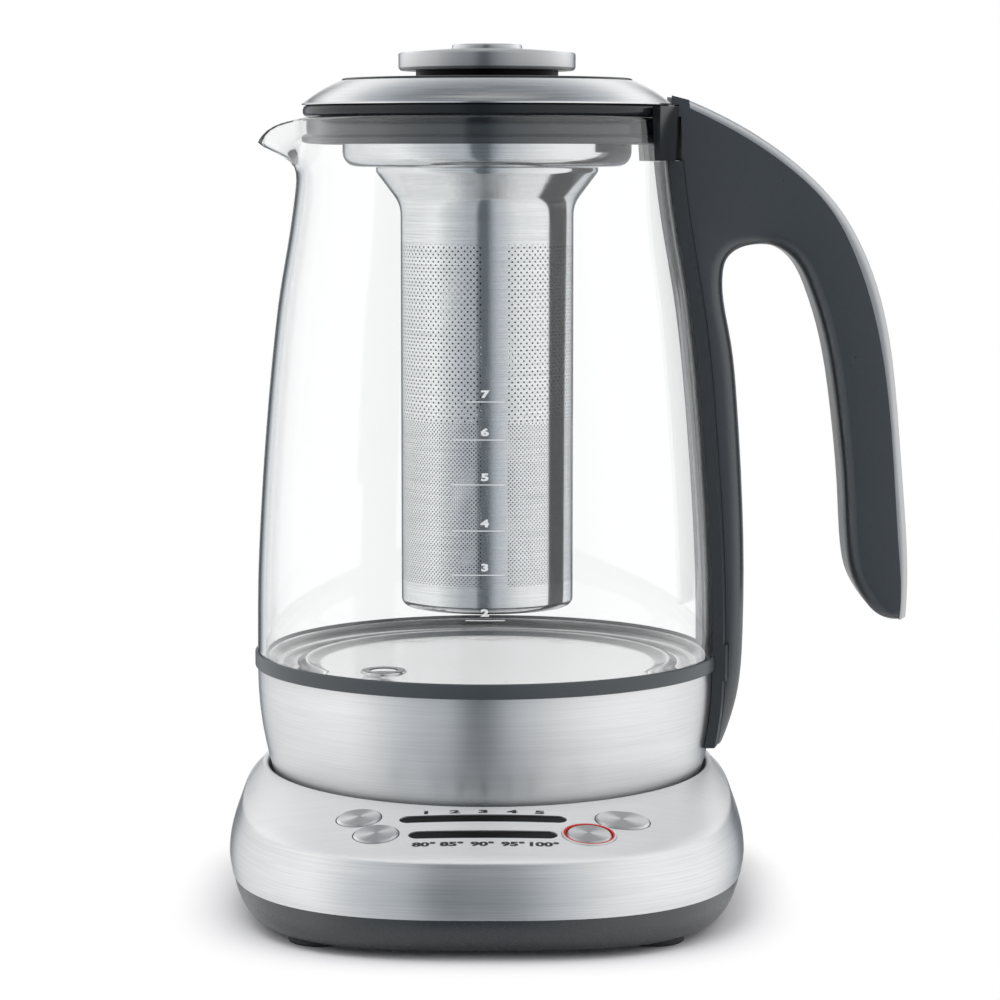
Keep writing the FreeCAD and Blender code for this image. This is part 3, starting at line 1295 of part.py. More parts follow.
def cover_screws():
    """Screws that hold the under cover to the heater's legs."""
    seat = RECESS_Z + UNDER_COVER_THICKNESS
    screws = []
    for x, y in cover_screw_places():
        shank = rod(SCREW_SHANK_RADIUS, RECESS_Z + COVER_SCREW_SINK, seat + COVER_SCREW_REACH, x, y)
        head = rod(COVER_SCREW_HEAD_RADIUS, seat, seat + COVER_SCREW_HEAD_HEIGHT, x, y)
        screws.append(joined([shank, head]))
    return group(screws)


def heater_legs():
    """Steel legs from the heat plate down to the under cover's screws."""
    bottom = RECESS_Z + UNDER_COVER_THICKNESS + COVER_SCREW_HEAD_HEIGHT
    top = HEAT_PLATE_TOP_Z - HEAT_PLATE_THICKNESS
    bore_top = bottom + COVER_SCREW_REACH + 2 * COVER_SCREW_HEAD_HEIGHT
    legs = []
    for x, y in cover_screw_places():
        leg = rod(COVER_LEG_RADIUS, bottom, top, x, y)
        legs.append(leg.cut(rod(SCREW_SHANK_RADIUS + FIT, RECESS_Z, bore_top, x, y)))
    return group(legs)


def jug_leads():
    """Leads from the plug to the element, the cut-out and the sensor."""
    start_z = PLUG_ROOF_Z + PLUG_ROOF + RUNNING_GAP + LEAD_RADIUS
    low = HEAT_PLATE_TOP_Z - HEAT_PLATE_THICKNESS - 2 * ELEMENT_RADIUS - COLD_END_LENGTH
    leads = []
    for (x, y), start_y in zip(cold_end_places(), (-JUG_LEAD_SPREAD, JUG_LEAD_SPREAD)):
        bend = (x * JUG_LEAD_BEND, y * JUG_LEAD_BEND, start_z + LEAD_RADIUS)
        leads.append(lead([(0, start_y, start_z), bend, (x, y, low - JUG_LEAD_DROP), (x, y, low)]))
    sensor_bottom = FLOOR_Z + SEAL_THICKNESS - SENSOR_STEM_LENGTH
    x, y = SENSOR_POSITION
    bend = (x, y, start_z + SENSOR_LEAD_RISE)
    leads.append(lead([(-SENSOR_LEAD_START, 0, start_z), bend, (x, y, sensor_bottom)]))
    return group(leads)


# ------------------------------------------------------------------ handle
def handle_point(point):
    reach, drop = point
    return Vector(GLASS_FOOT_RADIUS + reach, 0, RIM_Z - drop)


def handle_points(points):
    return [handle_point(point) for point in points]


def extruded(edges, half_width):
    face = Part.Face(Part.Wire(Part.__sortEdges__(edges)))
    face.translate(Vector(0, -half_width, 0))
    return face.extrude(Vector(0, 2 * half_width, 0))


def pillar_foot_z():
    return handle_point(HANDLE_GAP[-1]).z - PILLAR_FOOT_DROP


def lid_clearance():
    """Space of the lid that the handle and its bracket stay out of."""
    return rod(LID_RADIUS + HANDLE_NOSE_GAP, LID_RING_Z - HANDLE_LID_GAP, 2 * LID_TOP_Z - RIM_Z)


def handle_body():
    """Handle moulding: the arch with its free end, and the pillar that runs down beside the jug."""
    top = handle_points(HANDLE_TOP)
    trim = handle_points(HANDLE_TRIM)
    gap = handle_points(HANDLE_GAP)
    inside_x = GLASS_NECK_RADIUS * HANDLE_ROOT_SHARE
    foot_z = pillar_foot_z()
    foot_outer = Vector(gap[-1].x - PILLAR_FOOT_DROP, 0, foot_z)
    foot_inner = Vector(inside_x, 0, foot_z)
    head_inner = Vector(inside_x, 0, top[0].z)
    solid = extruded([
        line(head_inner, top[0]), line(top[0], top[1]), line(top[1], trim[0]), curve(trim),
        line(trim[-1], gap[0]), curve(gap), line(gap[-1], foot_outer), line(foot_outer, foot_inner),
        line(foot_inner, head_inner),
    ], HANDLE_HALF_WIDTH)
    solid = solid.makeFillet(HANDLE_ROUNDING, long_side_edges(solid, HANDLE_GAP))
    solid = solid.cut(jug_envelope(FIT + BACK_THICKNESS + FIT))
    return solid.cut([lid_clearance(), neck_space()])


def long_side_edges(solid, points):
    """Edges along a curve of the handle's outline, on both of its faces."""
    start, end = handle_point(points[0]), handle_point(points[-1])
    edges = []
    for edge in solid.Edges:
        tips = [Vector(vertex.X, 0, vertex.Z) for vertex in edge.Vertexes]
        near_start = min(tip.distanceToPoint(start) for tip in tips)
        near_end = min(tip.distanceToPoint(end) for tip in tips)
        if len(tips) == 2 and near_start < FIT and near_end < FIT:
            edges.append(edge)
    return edges


def neck_space():
    """Cylinder above the rim that the bracket fills, so that the handle starts outside it."""
    return rod(GLASS_NECK_RADIUS + FIT * 2 + BRACKET_THICKNESS, RIM_Z - BRACKET_HEIGHT, LID_RING_Z)


def handle_back():
    """Plate of the handle that lies along the glass and the skirt."""
    bottom = pillar_foot_z()
    top = RIM_Z + BRACKET_PROUD - BRACKET_HEIGHT - FIT
    reach = GLASS_FOOT_RADIUS * 2
    strip = Part.makeBox(reach, 2 * BACK_HALF_WIDTH, top - bottom, Vector(0, -BACK_HALF_WIDTH, bottom))
    return strip.common(jug_envelope(FIT + BACK_THICKNESS)).cut(jug_envelope(FIT))


def neck_bracket():
    """Collar piece at the neck that the handle hangs on."""
    bottom = RIM_Z + BRACKET_PROUD - BRACKET_HEIGHT
    top = RIM_Z + BRACKET_PROUD
    inner = GLASS_NECK_RADIUS + FIT
    outer = inner + FIT + BRACKET_THICKNESS
    upward = Vector(0, 0, 1)
    sector = Part.makeCylinder(outer, top - bottom, Vector(0, 0, bottom), upward, 2 * BRACKET_ANGLE)
    sector.rotate(Vector(0, 0, 0), upward, -BRACKET_ANGLE)
    return sector.cut([jug_envelope(FIT), rod(inner, bottom, 2 * top - bottom).cut(rod(inner, 0, RIM_Z - FIT))])


def handle_trim():
    """Satin strip let into the outside of the handle."""
    outer = handle_points(HANDLE_OUTER)
    inner = handle_points(HANDLE_TRIM)
    ends = [line(outer[0], inner[0]), line(outer[-1], inner[-1])]
    strip = extruded([curve(outer), curve(inner)] + ends, HANDLE_HALF_WIDTH - TRIM_SET_BACK)
    return strip.makeFillet(TRIM_ROUNDING, long_side_edges(strip, HANDLE_OUTER))


# ------------------------------------------------------------------ lid
def lid_arc(inset):
    """Crowned outside of the steel ring as three points, moved inwards by inset."""
    edge = Vector(LID_RADIUS - inset, 0, LID_RING_Z + LID_HEM)
    crown = Vector(LID_OPENING, 0, LID_TOP_Z - inset)
    middle = (edge + crown) * 0.5
    across = (crown - edge).normalize()
    outward = Vector(across.z, 0, -across.x)
    return edge, middle + outward * LID_BULGE, crown


def lid_ring():
    """Pressed steel ring of the lid."""
    edge, middle, crown = lid_arc(0.0)
    in_edge, in_middle, in_crown = lid_arc(LID_SHEET)
    rim = Vector(edge.x, 0, LID_RING_Z)
    in_rim = Vector(in_edge.x, 0, LID_RING_Z)
    return turned_edges([
        Part.Arc(edge, middle, crown).toShape(), line(crown, in_crown),
        Part.Arc(in_crown, in_middle, in_edge).toShape(),
        line(in_edge, in_rim), line(in_rim, rim), line(rim, edge),
    ])


def lid_body():
    """Plastic body of the lid with the ledge that the basket hangs on."""
    bore = COLLAR_RADIUS + RUNNING_GAP
    ledge = LID_OPENING + LID_SHEET + FIT
    foot = RIM_Z - LID_SLEEVE_DROP
    return turned([
        (bore, foot), (LID_SLEEVE_RADIUS, foot), (LID_SLEEVE_RADIUS, RIM_Z),
        (LID_BODY_RADIUS, RIM_Z, LID_BODY_ROUNDING), (LID_BODY_RADIUS, LID_RING_Z, LID_BODY_ROUNDING),
        (LID_BODY_RADIUS - LID_SHEET * 2, LID_RING_Z), (ledge, LEDGE_Z), (bore, LEDGE_Z),
    ])


def lid_seal():
    """Silicone seal of the lid inside the neck of the glass."""
    lip = GLASS_NECK_RADIUS - GLASS_WALL - RUNNING_GAP
    body = lip - SEAL_BODY_SET_BACK
    inner = LID_SLEEVE_RADIUS + FIT
    bottom = RIM_Z - SEAL_DROP
    lip_top = bottom + SEAL_LIP
    return turned([
        (inner, lip_top), (inner - SEAL_LIP_REACH, bottom), (lip, bottom, SEAL_LIP_ROUNDING),
        (lip, lip_top, SEAL_LIP_ROUNDING), (body, lip_top + SEAL_BODY_SET_BACK), (body, RIM_Z - FIT),
        (inner, RIM_Z - FIT),
    ])


# ------------------------------------------------------------------ basket
def basket_collar():
    """Spun steel collar of the basket with its flange, shelf and funnel."""
    t = BASKET_SHEET
    top = LEDGE_Z + t
    shelf = FUNNEL_TOP_Z
    neck_top = shelf - FUNNEL_HEIGHT
    outer = COLLAR_RADIUS
    inner = outer - t
    mouth = FUNNEL_MOUTH_RADIUS
    throat = TUBE_RADIUS
    return turned([
        (outer + COLLAR_FLANGE, LEDGE_Z), (outer + COLLAR_FLANGE, top), (inner, top),
        (inner, shelf + t, COLLAR_CORNER - t), (mouth - t, shelf + t, FUNNEL_FOLD_INNER),
        (throat - t, neck_top, FUNNEL_BEND), (throat - t, TUBE_TOP_Z), (throat, TUBE_TOP_Z),
        (throat, neck_top, FUNNEL_BEND - t), (mouth, shelf - FUNNEL_FOLD, FUNNEL_FOLD),
        (mouth, shelf, FUNNEL_EDGE), (outer, shelf, COLLAR_CORNER), (outer, LEDGE_Z),
    ])


def basket_tube():
    """Fine perforated tube that holds the tea."""
    return tube(TUBE_RADIUS, TUBE_RADIUS - TUBE_SHEET, BASKET_BOTTOM_Z + BASKET_BASE_HEIGHT, TUBE_TOP_Z)


def basket_base():
    """Closed cup at the foot of the basket."""
    t = BASKET_SHEET
    bottom = BASKET_BOTTOM_Z
    top = bottom + BASKET_BASE_HEIGHT
    inner = TUBE_RADIUS - t
    return turned([
        (0, bottom), (TUBE_RADIUS, bottom, BASKET_BASE_ROUNDING), (TUBE_RADIUS, top), (inner, top),
        (inner, bottom + t, BASKET_BASE_ROUNDING - t), (0, bottom + t),
    ])


# ------------------------------------------------------------------ basket lid
def basket_lid_plate():
    """Dark plate that closes the basket, with a ring that centres it in the collar."""
    outer = LID_OPENING - PLATE_GAP
    ring = COLLAR_RADIUS - BASKET_SHEET - RUNNING_GAP
    ring_inner = ring - PLATE_SKIRT_WALL
    ring_bottom = PLATE_Z - PLATE_SKIRT_DEPTH
    bore = KNOB_SCREW_RADIUS + FIT
    top = PLATE_Z + PLATE_THICKNESS
    return turned([
        (bore, PLATE_Z), (ring_inner, PLATE_Z), (ring_inner, ring_bottom), (ring, ring_bottom),
        (ring, PLATE_Z), (outer, PLATE_Z), (outer, top, PLATE_ROUNDING), (bore, top),
    ])


def knob_stem():
    """Dark foot of the knob."""
    top = KNOB_Z + KNOB_POCKET_DEPTH
    return turned([
        (KNOB_SCREW_RADIUS + FIT, KNOB_STEM_Z), (STEM_RADIUS_KNOB, KNOB_STEM_Z), (STEM_RADIUS_KNOB, KNOB_Z),
        (KNOB_POCKET_RADIUS, KNOB_Z), (KNOB_POCKET_RADIUS, top), (KNOB_SCREW_RADIUS + FIT, top),
    ])


def knob_cap():
    """Turned steel disc of the knob, crowned, with a pocket for its foot and a sunk centre."""
    top = KNOB_Z + KNOB_EDGE
    crown = top + KNOB_CROWN
    bevel_in, bevel_up = KNOB_FOOT_BEVEL
    foot_centre = Vector(0, 0, KNOB_Z)
    foot_edge = Vector(KNOB_RADIUS - bevel_in, 0, KNOB_Z)
    wall_foot = Vector(KNOB_RADIUS, 0, KNOB_Z + bevel_up)
    wall_top = Vector(KNOB_RADIUS, 0, top - KNOB_EDGE_ROUNDING)
    rim = Vector(KNOB_RADIUS - KNOB_EDGE_ROUNDING, 0, top)
    summit = Vector(0, 0, crown)
    halfway = Vector(KNOB_RADIUS / 2, 0, top + KNOB_CROWN * 0.75)
    disc = turned_edges([
        Part.Arc(rim, halfway, summit).toShape(), line(summit, foot_centre), line(foot_centre, foot_edge),
        line(foot_edge, wall_foot), line(wall_foot, wall_top), line(wall_top, rim),
    ])
    pocket = rod(KNOB_POCKET_RADIUS + FIT, KNOB_STEM_Z, KNOB_Z + KNOB_POCKET_DEPTH + FIT)
    sunk = rod(KNOB_CENTRE_RADIUS + FIT, crown - KNOB_CENTRE_DEPTH + KNOB_CENTRE_PROUD, crown + KNOB_EDGE)
    return disc.cut([pocket, sunk])


def knob_centre():
    """Raised centre cap of the knob."""
    crown = KNOB_Z + KNOB_EDGE + KNOB_CROWN
    top = crown + KNOB_CENTRE_PROUD
    bottom = crown - KNOB_CENTRE_DEPTH + KNOB_CENTRE_PROUD
    return turned([
        (0, bottom), (KNOB_CENTRE_RADIUS, bottom), (KNOB_CENTRE_RADIUS, top, KNOB_CENTRE_ROUNDING), (0, top),
    ])


def knob_screw():
    """Screw up through the plate into the foot of the knob."""
    bottom = PLATE_Z - SCREW_HEAD_HEIGHT
    shank = rod(KNOB_SCREW_RADIUS, bottom, PLATE_Z + KNOB_SCREW_LENGTH)
    return joined([rod(KNOB_SCREW_HEAD, bottom, PLATE_Z), shank])


# ------------------------------------------------------------------ the assembly
NODES = {
    "base_cover": base_cover,
    "base_pan": base_pan,
    "base_feet": base_feet,
    "base_screws": base_screws,
    "cradle": cradle,
    "socket_housing": socket_housing,
    "socket_ring": socket_ring,
    "socket_pin": socket_pin,
    "panel_carrier": panel_carrier,
    "control_board": control_board,
    "tact_switches": tact_switches,
    "time_lamps": lambda: lamps(0),
    "temp_lamps": lambda: lamps(1),
    "time_bar": lambda: light_bar(*TIME_BAR),
    "temp_bar": lambda: light_bar(*TEMP_BAR),
    "start_ring": start_ring,
    "time_button": lambda: button("time"),
    "temp_button": lambda: button("temp"),
    "timer_button": lambda: button("timer"),
    "start_button": lambda: button("start"),
    "beeper": beeper,
    "power_board": power_board,
    "board_screws": board_screws,
    "relay": relay,
    "supply_block": supply_block,
    "capacitor": capacitor,
    "mains_gland": mains_gland,
    "base_wiring": base_wiring,
    "jug_plug": jug_plug,
    "plug_contacts": plug_contacts,
    "glass_jug": glass_jug,
    "glass_gasket": glass_gasket,
    "foot_ring": foot_ring,
    "floor_plate": floor_plate,
    "sensor_seal": sensor_seal,
    "temp_sensor": temp_sensor,
    "heat_plate": heat_plate,
    "heating_element": heating_element,
    "thermal_cutout": thermal_cutout,
    "skirt": skirt,
    "under_cover": under_cover,
    "cover_screws": cover_screws,
    "heater_legs": heater_legs,
    "jug_leads": jug_leads,
    "handle_body": handle_body,
    "handle_back": handle_back,
    "neck_bracket": neck_bracket,
    "handle_trim": handle_trim,
    "lid_ring": lid_ring,
    "lid_body": lid_body,
    "lid_seal": lid_seal,
    "basket_collar": basket_collar,
    "basket_tube": basket_tube,
    "basket_base": basket_base,
    "basket_lid_plate": basket_lid_plate,
    "knob_stem": knob_stem,
    "knob_cap": knob_cap,
    "knob_centre": knob_centre,
    "knob_screw": knob_screw,
}


def build():
    os.makedirs("parts", exist_ok=True)
    for name, make in NODES.items():
        shape = make()
        shape.exportStep("parts/" + name + ".step")
        print(name, "solids", len(shape.Solids), "valid", shape.isValid(), "volume", round(shape.Volume, 1))


build()
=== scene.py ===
# %% [markdown]
# # Dressing a glass tea maker
#
# The construction of this appliance comes from its CAD model. This lesson gives it its looks: the
# turned sheets and the glass are modelled again with clean surfaces, the moulded pieces get soft
# shading, and every piece gets a finish made of nodes. All lengths are metres: the jug's axis is Z, the
# front is -Y, the spout points to -X and the handle to +X.
# %% Load the frame
import math
import bpy
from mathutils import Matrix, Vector


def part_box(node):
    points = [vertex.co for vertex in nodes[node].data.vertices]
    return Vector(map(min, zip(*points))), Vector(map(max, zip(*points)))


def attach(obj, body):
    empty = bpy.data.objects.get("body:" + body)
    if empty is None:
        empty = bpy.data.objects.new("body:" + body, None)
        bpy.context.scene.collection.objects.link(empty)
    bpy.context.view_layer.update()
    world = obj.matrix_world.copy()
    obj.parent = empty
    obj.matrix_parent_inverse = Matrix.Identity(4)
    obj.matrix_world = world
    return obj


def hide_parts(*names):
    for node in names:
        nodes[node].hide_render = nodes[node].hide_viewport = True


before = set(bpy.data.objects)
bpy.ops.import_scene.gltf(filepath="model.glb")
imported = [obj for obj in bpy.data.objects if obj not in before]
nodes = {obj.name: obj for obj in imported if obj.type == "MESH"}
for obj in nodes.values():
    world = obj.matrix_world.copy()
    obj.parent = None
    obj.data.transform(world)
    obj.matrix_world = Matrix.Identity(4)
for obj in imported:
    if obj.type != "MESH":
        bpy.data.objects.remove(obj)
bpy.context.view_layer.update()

# %% [markdown]
# ## Writing shader maths as sums
#
# Nodes could be wired one by one, which is slow to read. Here a small class stands for a socket's
# value, and Python's own operators add the Math nodes behind it.


# %% A value that can be calculated with
class Value:
    def __init__(self, graph, socket):
        self.graph = graph
        self.socket = socket

    def calc(self, operation, *terms):
        return self.graph.node("Math", {"operation": operation}, dict(enumerate(terms)))

    def __add__(self, other):
        return self.calc("ADD", self, other)

    def __radd__(self, other):
        return self.calc("ADD", other, self)

    def __sub__(self, other):
        return self.calc("SUBTRACT", self, other)

    def __rsub__(self, other):
        return self.calc("SUBTRACT", other, self)

    def __mul__(self, other):
        return self.calc("MULTIPLY", self, other)

    def __truediv__(self, other):
        return self.calc("DIVIDE", self, other)

    def __abs__(self):
        return self.calc("ABSOLUTE", self)

    def root(self):
        return self.calc("SQRT", self)

    def wrapped(self, period):
        """Distance to the nearest whole period, from -half to half of it."""
        return self.calc("WRAP", self, period / 2, -period / 2)

    def ramp(self, low, high):
        """0 below low, 1 above high, and a smooth step between them; high may be the smaller."""
        settings = {"interpolation_type": "SMOOTHSTEP"}
        return self.graph.node("MapRange", settings, {"Value": self, "From Min": low, "From Max": high})


# %% [markdown]
# A second class holds one node tree. One method adds any kind of node from its type, its settings and
# its inputs, so that a finish reads as a short list of what it is made of.


# %% A tree of nodes
class Graph:
    def __init__(self, tree):
        self.tree = tree
        tree.nodes.clear()

    def fill(self, socket, value):
        if isinstance(value, Value):
            self.tree.links.new(value.socket, socket)
        else:
            socket.default_value = value

    def node(self, kind, settings=None, inputs=None, output=0):
        made = self.tree.nodes.new("ShaderNode" + kind)
        for name, value in (settings or {}).items():
            if name == "stops":
                self.set_stops(made.color_ramp, value)
            else:
                setattr(made, name, value)
        for name, value in (inputs or {}).items():
            self.fill(made.inputs[name], value)
        if made.outputs:
            return Value(self, made.outputs[output])

    def set_stops(self, ramp, stops):
        ramp.elements.remove(ramp.elements[1])
        ramp.elements[0].position, ramp.elements[0].color = stops[0]
        for position, colour in stops[1:]:
            ramp.elements.new(position).color = colour

    def split(self, vector):
        first = self.node("SeparateXYZ", None, {"Vector": vector})
        return [Value(self, socket) for socket in first.socket.node.outputs]

    def vector(self, x, y, z):
        return self.node("CombineXYZ", None, {"X": x, "Y": y, "Z": z})

    def mixed(self, factor, first, second):
        return self.node("Mix", {"data_type": "RGBA"}, {0: factor, 6: first, 7: second}, output=2)

    def noise(self, vector, detail=2.0, roughness=0.5, scale=1.0):
        inputs = {"Vector": vector, "Scale": scale, "Detail": detail, "Roughness": roughness}
        return self.node("TexNoise", None, inputs)


def grey(level):
    return (level, level, level, 1.0)


def cool(level):
    """Grey that gets a little bluer the darker it is."""
    tint = 0.16 * max(0.0, 1 - level)
    return (level * (1 - tint), level, level * (1 + tint), 1.0)


print("cool grey at a third:", cool(1 / 3))

# %% [markdown]
# ## A finish
#
# Each material is a Principled shader. What is the same all over the piece stands on the shader's own
# sockets, and only what changes over the surface, such as colour, roughness and relief, gets nodes.


# %% The finish class
class Finish(Graph):
    def __init__(self, name, **uniform):
        self.material = bpy.data.materials.new(name)
        self.material.use_nodes = True
        super().__init__(self.material.node_tree)
        self.shader = self.node("BsdfPrincipled")
        self.output = self.tree.nodes.new("ShaderNodeOutputMaterial")
        self.fill(self.output.inputs["Surface"], self.shader)
        self.set(**uniform)
        self.place = self.node("TexCoord", output=3)
        self.x, self.y, self.z = self.split(self.place)

    def set(self, **sockets):
        for name, value in sockets.items():
            self.fill(self.shader.socket.node.inputs[name.replace("_", " ")], value)

    def bump(self, height, depth):
        """Relief whose height runs from 0 to 1 over a depth in metres."""
        self.set(Normal=self.node("Bump", None, {"Strength": 1.0, "Distance": depth, "Height": height}))

    def varied(self, value, first, second):
        """Base colour between two colours by a value from 0 to 1."""
        self.set(Base_Color=self.mixed(value, first, second))

    def reach(self, x=0.0, y=0.0):
        """Distance from an upright line."""
        across, along = self.x - x, self.y - y
        return (across * across + along * along).root()


# %% [markdown]
# ## The camera
#
# The camera looks slightly down, through a long lens that keeps upright edges nearly parallel. A
# constraint could aim it, but plain numbers always give the same view.
# %% Camera
LENS = 116.4
CAMERA_PLACE = (0.0038, -0.9568, 0.2171)
CAMERA_PITCH = math.radians(83.88)
bpy.ops.object.camera_add(location=CAMERA_PLACE, rotation=(CAMERA_PITCH, 0, 0))
camera = bpy.context.object
camera.data.lens = LENS
camera.data.sensor_width = 36.0
bpy.context.scene.camera = camera
bpy.context.scene.view_settings.view_transform = "Standard"
print("camera at", CAMERA_PLACE)

# %% [markdown]
# ## The studio
#
# Bare metal has no colour of its own: it shows the room. A studio has white walls and dark boards, and
# each becomes a band on the steel. Such boards could be planes in the scene, but the world is simpler:
# its colour follows the compass bearing of a ray, from -180 to 180 degrees with 0 at the front, and
# above the walls is a ceiling. Dark strips beside the white backdrop draw the dark edges of the glass.
# %% World
STUDIO = (
    (-180, 1.0), (-173, 1.0), (-169, 0.1), (-160, 0.1), (-153, 0.75), (-133, 1.0), (-108, 1.1), (-72, 1.22),
    (-52, 0.85), (-36, 0.66), (-15, 0.58), (-11, 0.15), (1, 0.15), (6, 0.4), (14, 0.66), (26, 0.8),
    (42, 1.05), (67, 1.2), (113, 1.2), (126, 1.1), (138, 0.85), (150, 0.6), (156, 0.1), (168, 0.1),
    (173, 1.0), (180, 1.0),
)
CEILING_FRONT = 1.35
CEILING_BACK = ((0.5, 1.22), (0.6, 1.08), (0.7, 0.66), (0.78, 0.48), (0.86, 0.2), (0.9, 0.08), (1.0, 0.06))
WALL_TOP = 0.16         # rise of a ray at which the wall starts to turn into the ceiling
CEILING_FOOT = 0.5
FRONT_RISE = 0.75       # the wall at the front stands this much higher
world = bpy.data.worlds.new("studio")
bpy.context.scene.world = world
world.use_nodes = True
sky = Graph(world.node_tree)
ray_x, ray_y, ray_z = sky.split(sky.node("TexCoord", output=0))
bearing = ray_x.calc("ARCTAN2", ray_x, 0 - ray_y)
stops = [((degrees + 180) / 360, cool(level)) for degrees, level in STUDIO]
wall = sky.node("ValToRGB", {"stops": stops}, {"Fac": bearing / (2 * math.pi) + 0.5})
back_stops = [(height, cool(level)) for height, level in CEILING_BACK]
back = sky.node("ValToRGB", {"stops": back_stops}, {"Fac": ray_z})
ceiling = sky.mixed(ray_y.ramp(0.05, 0.3), grey(CEILING_FRONT), back)
height = ray_z - ray_y.ramp(-0.1, -0.5) * FRONT_RISE
room = sky.mixed(height.ramp(WALL_TOP, CEILING_FOOT), wall, ceiling)
print("studio stops:", len(STUDIO))

# %% [markdown]
# The camera sees plain white instead. A scene has only one world, so the Light Path node picks the
# rays that come straight from the camera, or through the glass, and have met nothing else.
# %% What the camera sees
CAMERA_RAY, SHADOW_RAY, TRANSMITTED, DIFFUSE_DEPTH, GLOSSY_DEPTH = 0, 1, 6, 10, 11
straight = sky.node("LightPath", output=CAMERA_RAY)
through = sky.node("LightPath", output=TRANSMITTED)
bounced = sky.node("LightPath", output=DIFFUSE_DEPTH) + sky.node("LightPath", output=GLOSSY_DEPTH)
seen = straight.calc("MAXIMUM", straight, through) * bounced.calc("LESS_THAN", bounced, 0.5)
light = sky.node("Background", None, {"Color": sky.mixed(seen, room, grey(1.0))})
sky.node("OutputWorld", None, {"Surface": light})
print("world nodes:", len(sky.tree.nodes))

# %% [markdown]
# ## Lamp and floor
#
# One wide soft lamp from the upper left gives the faint shadow. A sun would give a hard one. The lamp
# isn't seen in reflections, because the room already gives those.
# %% Lamp
bpy.ops.object.light_add(type="AREA", location=(-0.25, -0.4, 1.3), rotation=(0.35, 0, -0.56))
lamp = bpy.context.object
lamp.data.shape = "DISK"
lamp.data.size = 0.7
lamp.data.energy = 3.0
lamp.visible_glossy = False
lamp.visible_transmission = False
print("lamp energy", lamp.data.energy)

# %% [markdown]
# The floor is a round white table top. A large plane would show a horizon, so a disc is enough: beyond
# the outline of the base it fades, for the camera into plain white, and for other rays into nothing.
# %% Floor
FLOOR_RADIUS = 0.20
BASE_MIDDLE_Y = -0.0152
BASE_HALF_X = 0.079
BASE_HALF_Y = 0.0905
FADE_START = 0.72       # 1 is the outline of the base
FADE_END = 1.6
bpy.ops.mesh.primitive_circle_add(vertices=128, radius=FLOOR_RADIUS, fill_type="NGON", location=(0, 0, 0))
floor = bpy.context.object
floor.name = "floor"
paper = Finish("white table", Roughness=0.75, Specular_IOR_Level=0.2)
over_x = abs(paper.x / BASE_HALF_X)
over_y = abs((paper.y - BASE_MIDDLE_Y) / BASE_HALF_Y)
beyond = over_x * over_x * over_x + over_y * over_y * over_y
grain = paper.noise(paper.place, scale=900.0)
paper.varied(grain, (0.95, 0.935, 0.95, 1), (0.965, 0.95, 0.965, 1))
seen_far = paper.node("LightPath", output=CAMERA_RAY)
nothing, white = paper.node("BsdfTransparent"), paper.node("Emission")
far = paper.node("MixShader", None, {0: seen_far, 1: nothing, 2: white})
surface = paper.node("MixShader", None, {0: beyond.ramp(FADE_START, FADE_END), 1: paper.shader, 2: far})
paper.fill(paper.output.inputs["Surface"], surface)
floor.data.materials.append(paper.material)
print("floor radius", FLOOR_RADIUS)

# %% [markdown]
# ## Brushed steel
#
# Brushing leaves long fine scratches. A picture of them would blur close up, so a noise draws them that
# changes quickly across them and hardly at all along them. The shader's anisotropy stretches the
# highlights across them. On the skirt, the lid and the basket they run level round the jug.


# %% Brushed steel
STEEL_DARK = (0.51, 0.516, 0.522, 1.0)
STEEL_LIGHT = (0.88, 0.884, 0.888, 1.0)
ACROSS = 4200.0         # scratches per metre
ALONG = 40.0
SCUFF = 0.16            # how far a scratch changes the roughness


def brushed_round(name, roughness, anisotropy, depth):
    steel = Finish(name, Metallic=1.0, Anisotropic=anisotropy, Anisotropic_Rotation=0.25)
    scratches = steel.vector(steel.x * ALONG, steel.y * ALONG, steel.z * ACROSS)
    fine = steel.noise(scratches, detail=4.0, roughness=0.6)
    broad = steel.noise(steel.vector(steel.x * 9, steel.y * 9, steel.z * 260), detail=2.0)
    steel.varied(fine * 0.7 + broad * 0.3, STEEL_DARK, STEEL_LIGHT)
    steel.set(Roughness=roughness + (fine - 0.5) * SCUFF)
    steel.bump(fine, depth)
    return steel.material


SKIRT_STEEL = brushed_round("brushed steel of the jug", 0.37, 0.9, 0.000014)
RING_STEEL = brushed_round("brushed steel of the lid", 0.22, 0.8, 0.000012)
BASKET_STEEL = brushed_round("satin steel of the basket", 0.13, 0.3, 0.000003)
print("round steels ready")

# %% [markdown]
# The cover of the base is brushed from side to side on its panel and level round its sides, and its
# top is more satin. One finish can be both: the way the surface faces chooses between two noises. The
# upward faces also get a lighter colour, painted light for the light from above.


# %% Steel of the base
def brushed_flat(name):
    steel = Finish(name, Anisotropic=0.85, Anisotropic_Rotation=0.25)
    top = steel.split(steel.node("NewGeometry", output=1))[2].ramp(0.5, 0.8)
    scratches_over = steel.vector(steel.x * ALONG, steel.y * ACROSS, steel.z * ALONG)
    scratches_round = steel.vector(steel.x * ALONG, steel.y * ALONG, steel.z * ACROSS)
    over = steel.noise(scratches_over, detail=4.0, roughness=0.6)
    side = steel.noise(scratches_round, detail=4.0, roughness=0.6)
    fine = side + (over - side) * top
    # painted light: upward faces get a lighter colour
    steel.varied(fine + (1 - fine) * top * 0.4, STEEL_DARK, STEEL_LIGHT)
    steel.set(Roughness=0.38 + (fine - 0.5) * SCUFF, Metallic=1 - top * 0.62)
    steel.bump(fine, 0.00002)
    return steel.material


COVER_STEEL = brushed_flat("brushed steel of the base")
print(COVER_STEEL.name, "ready")
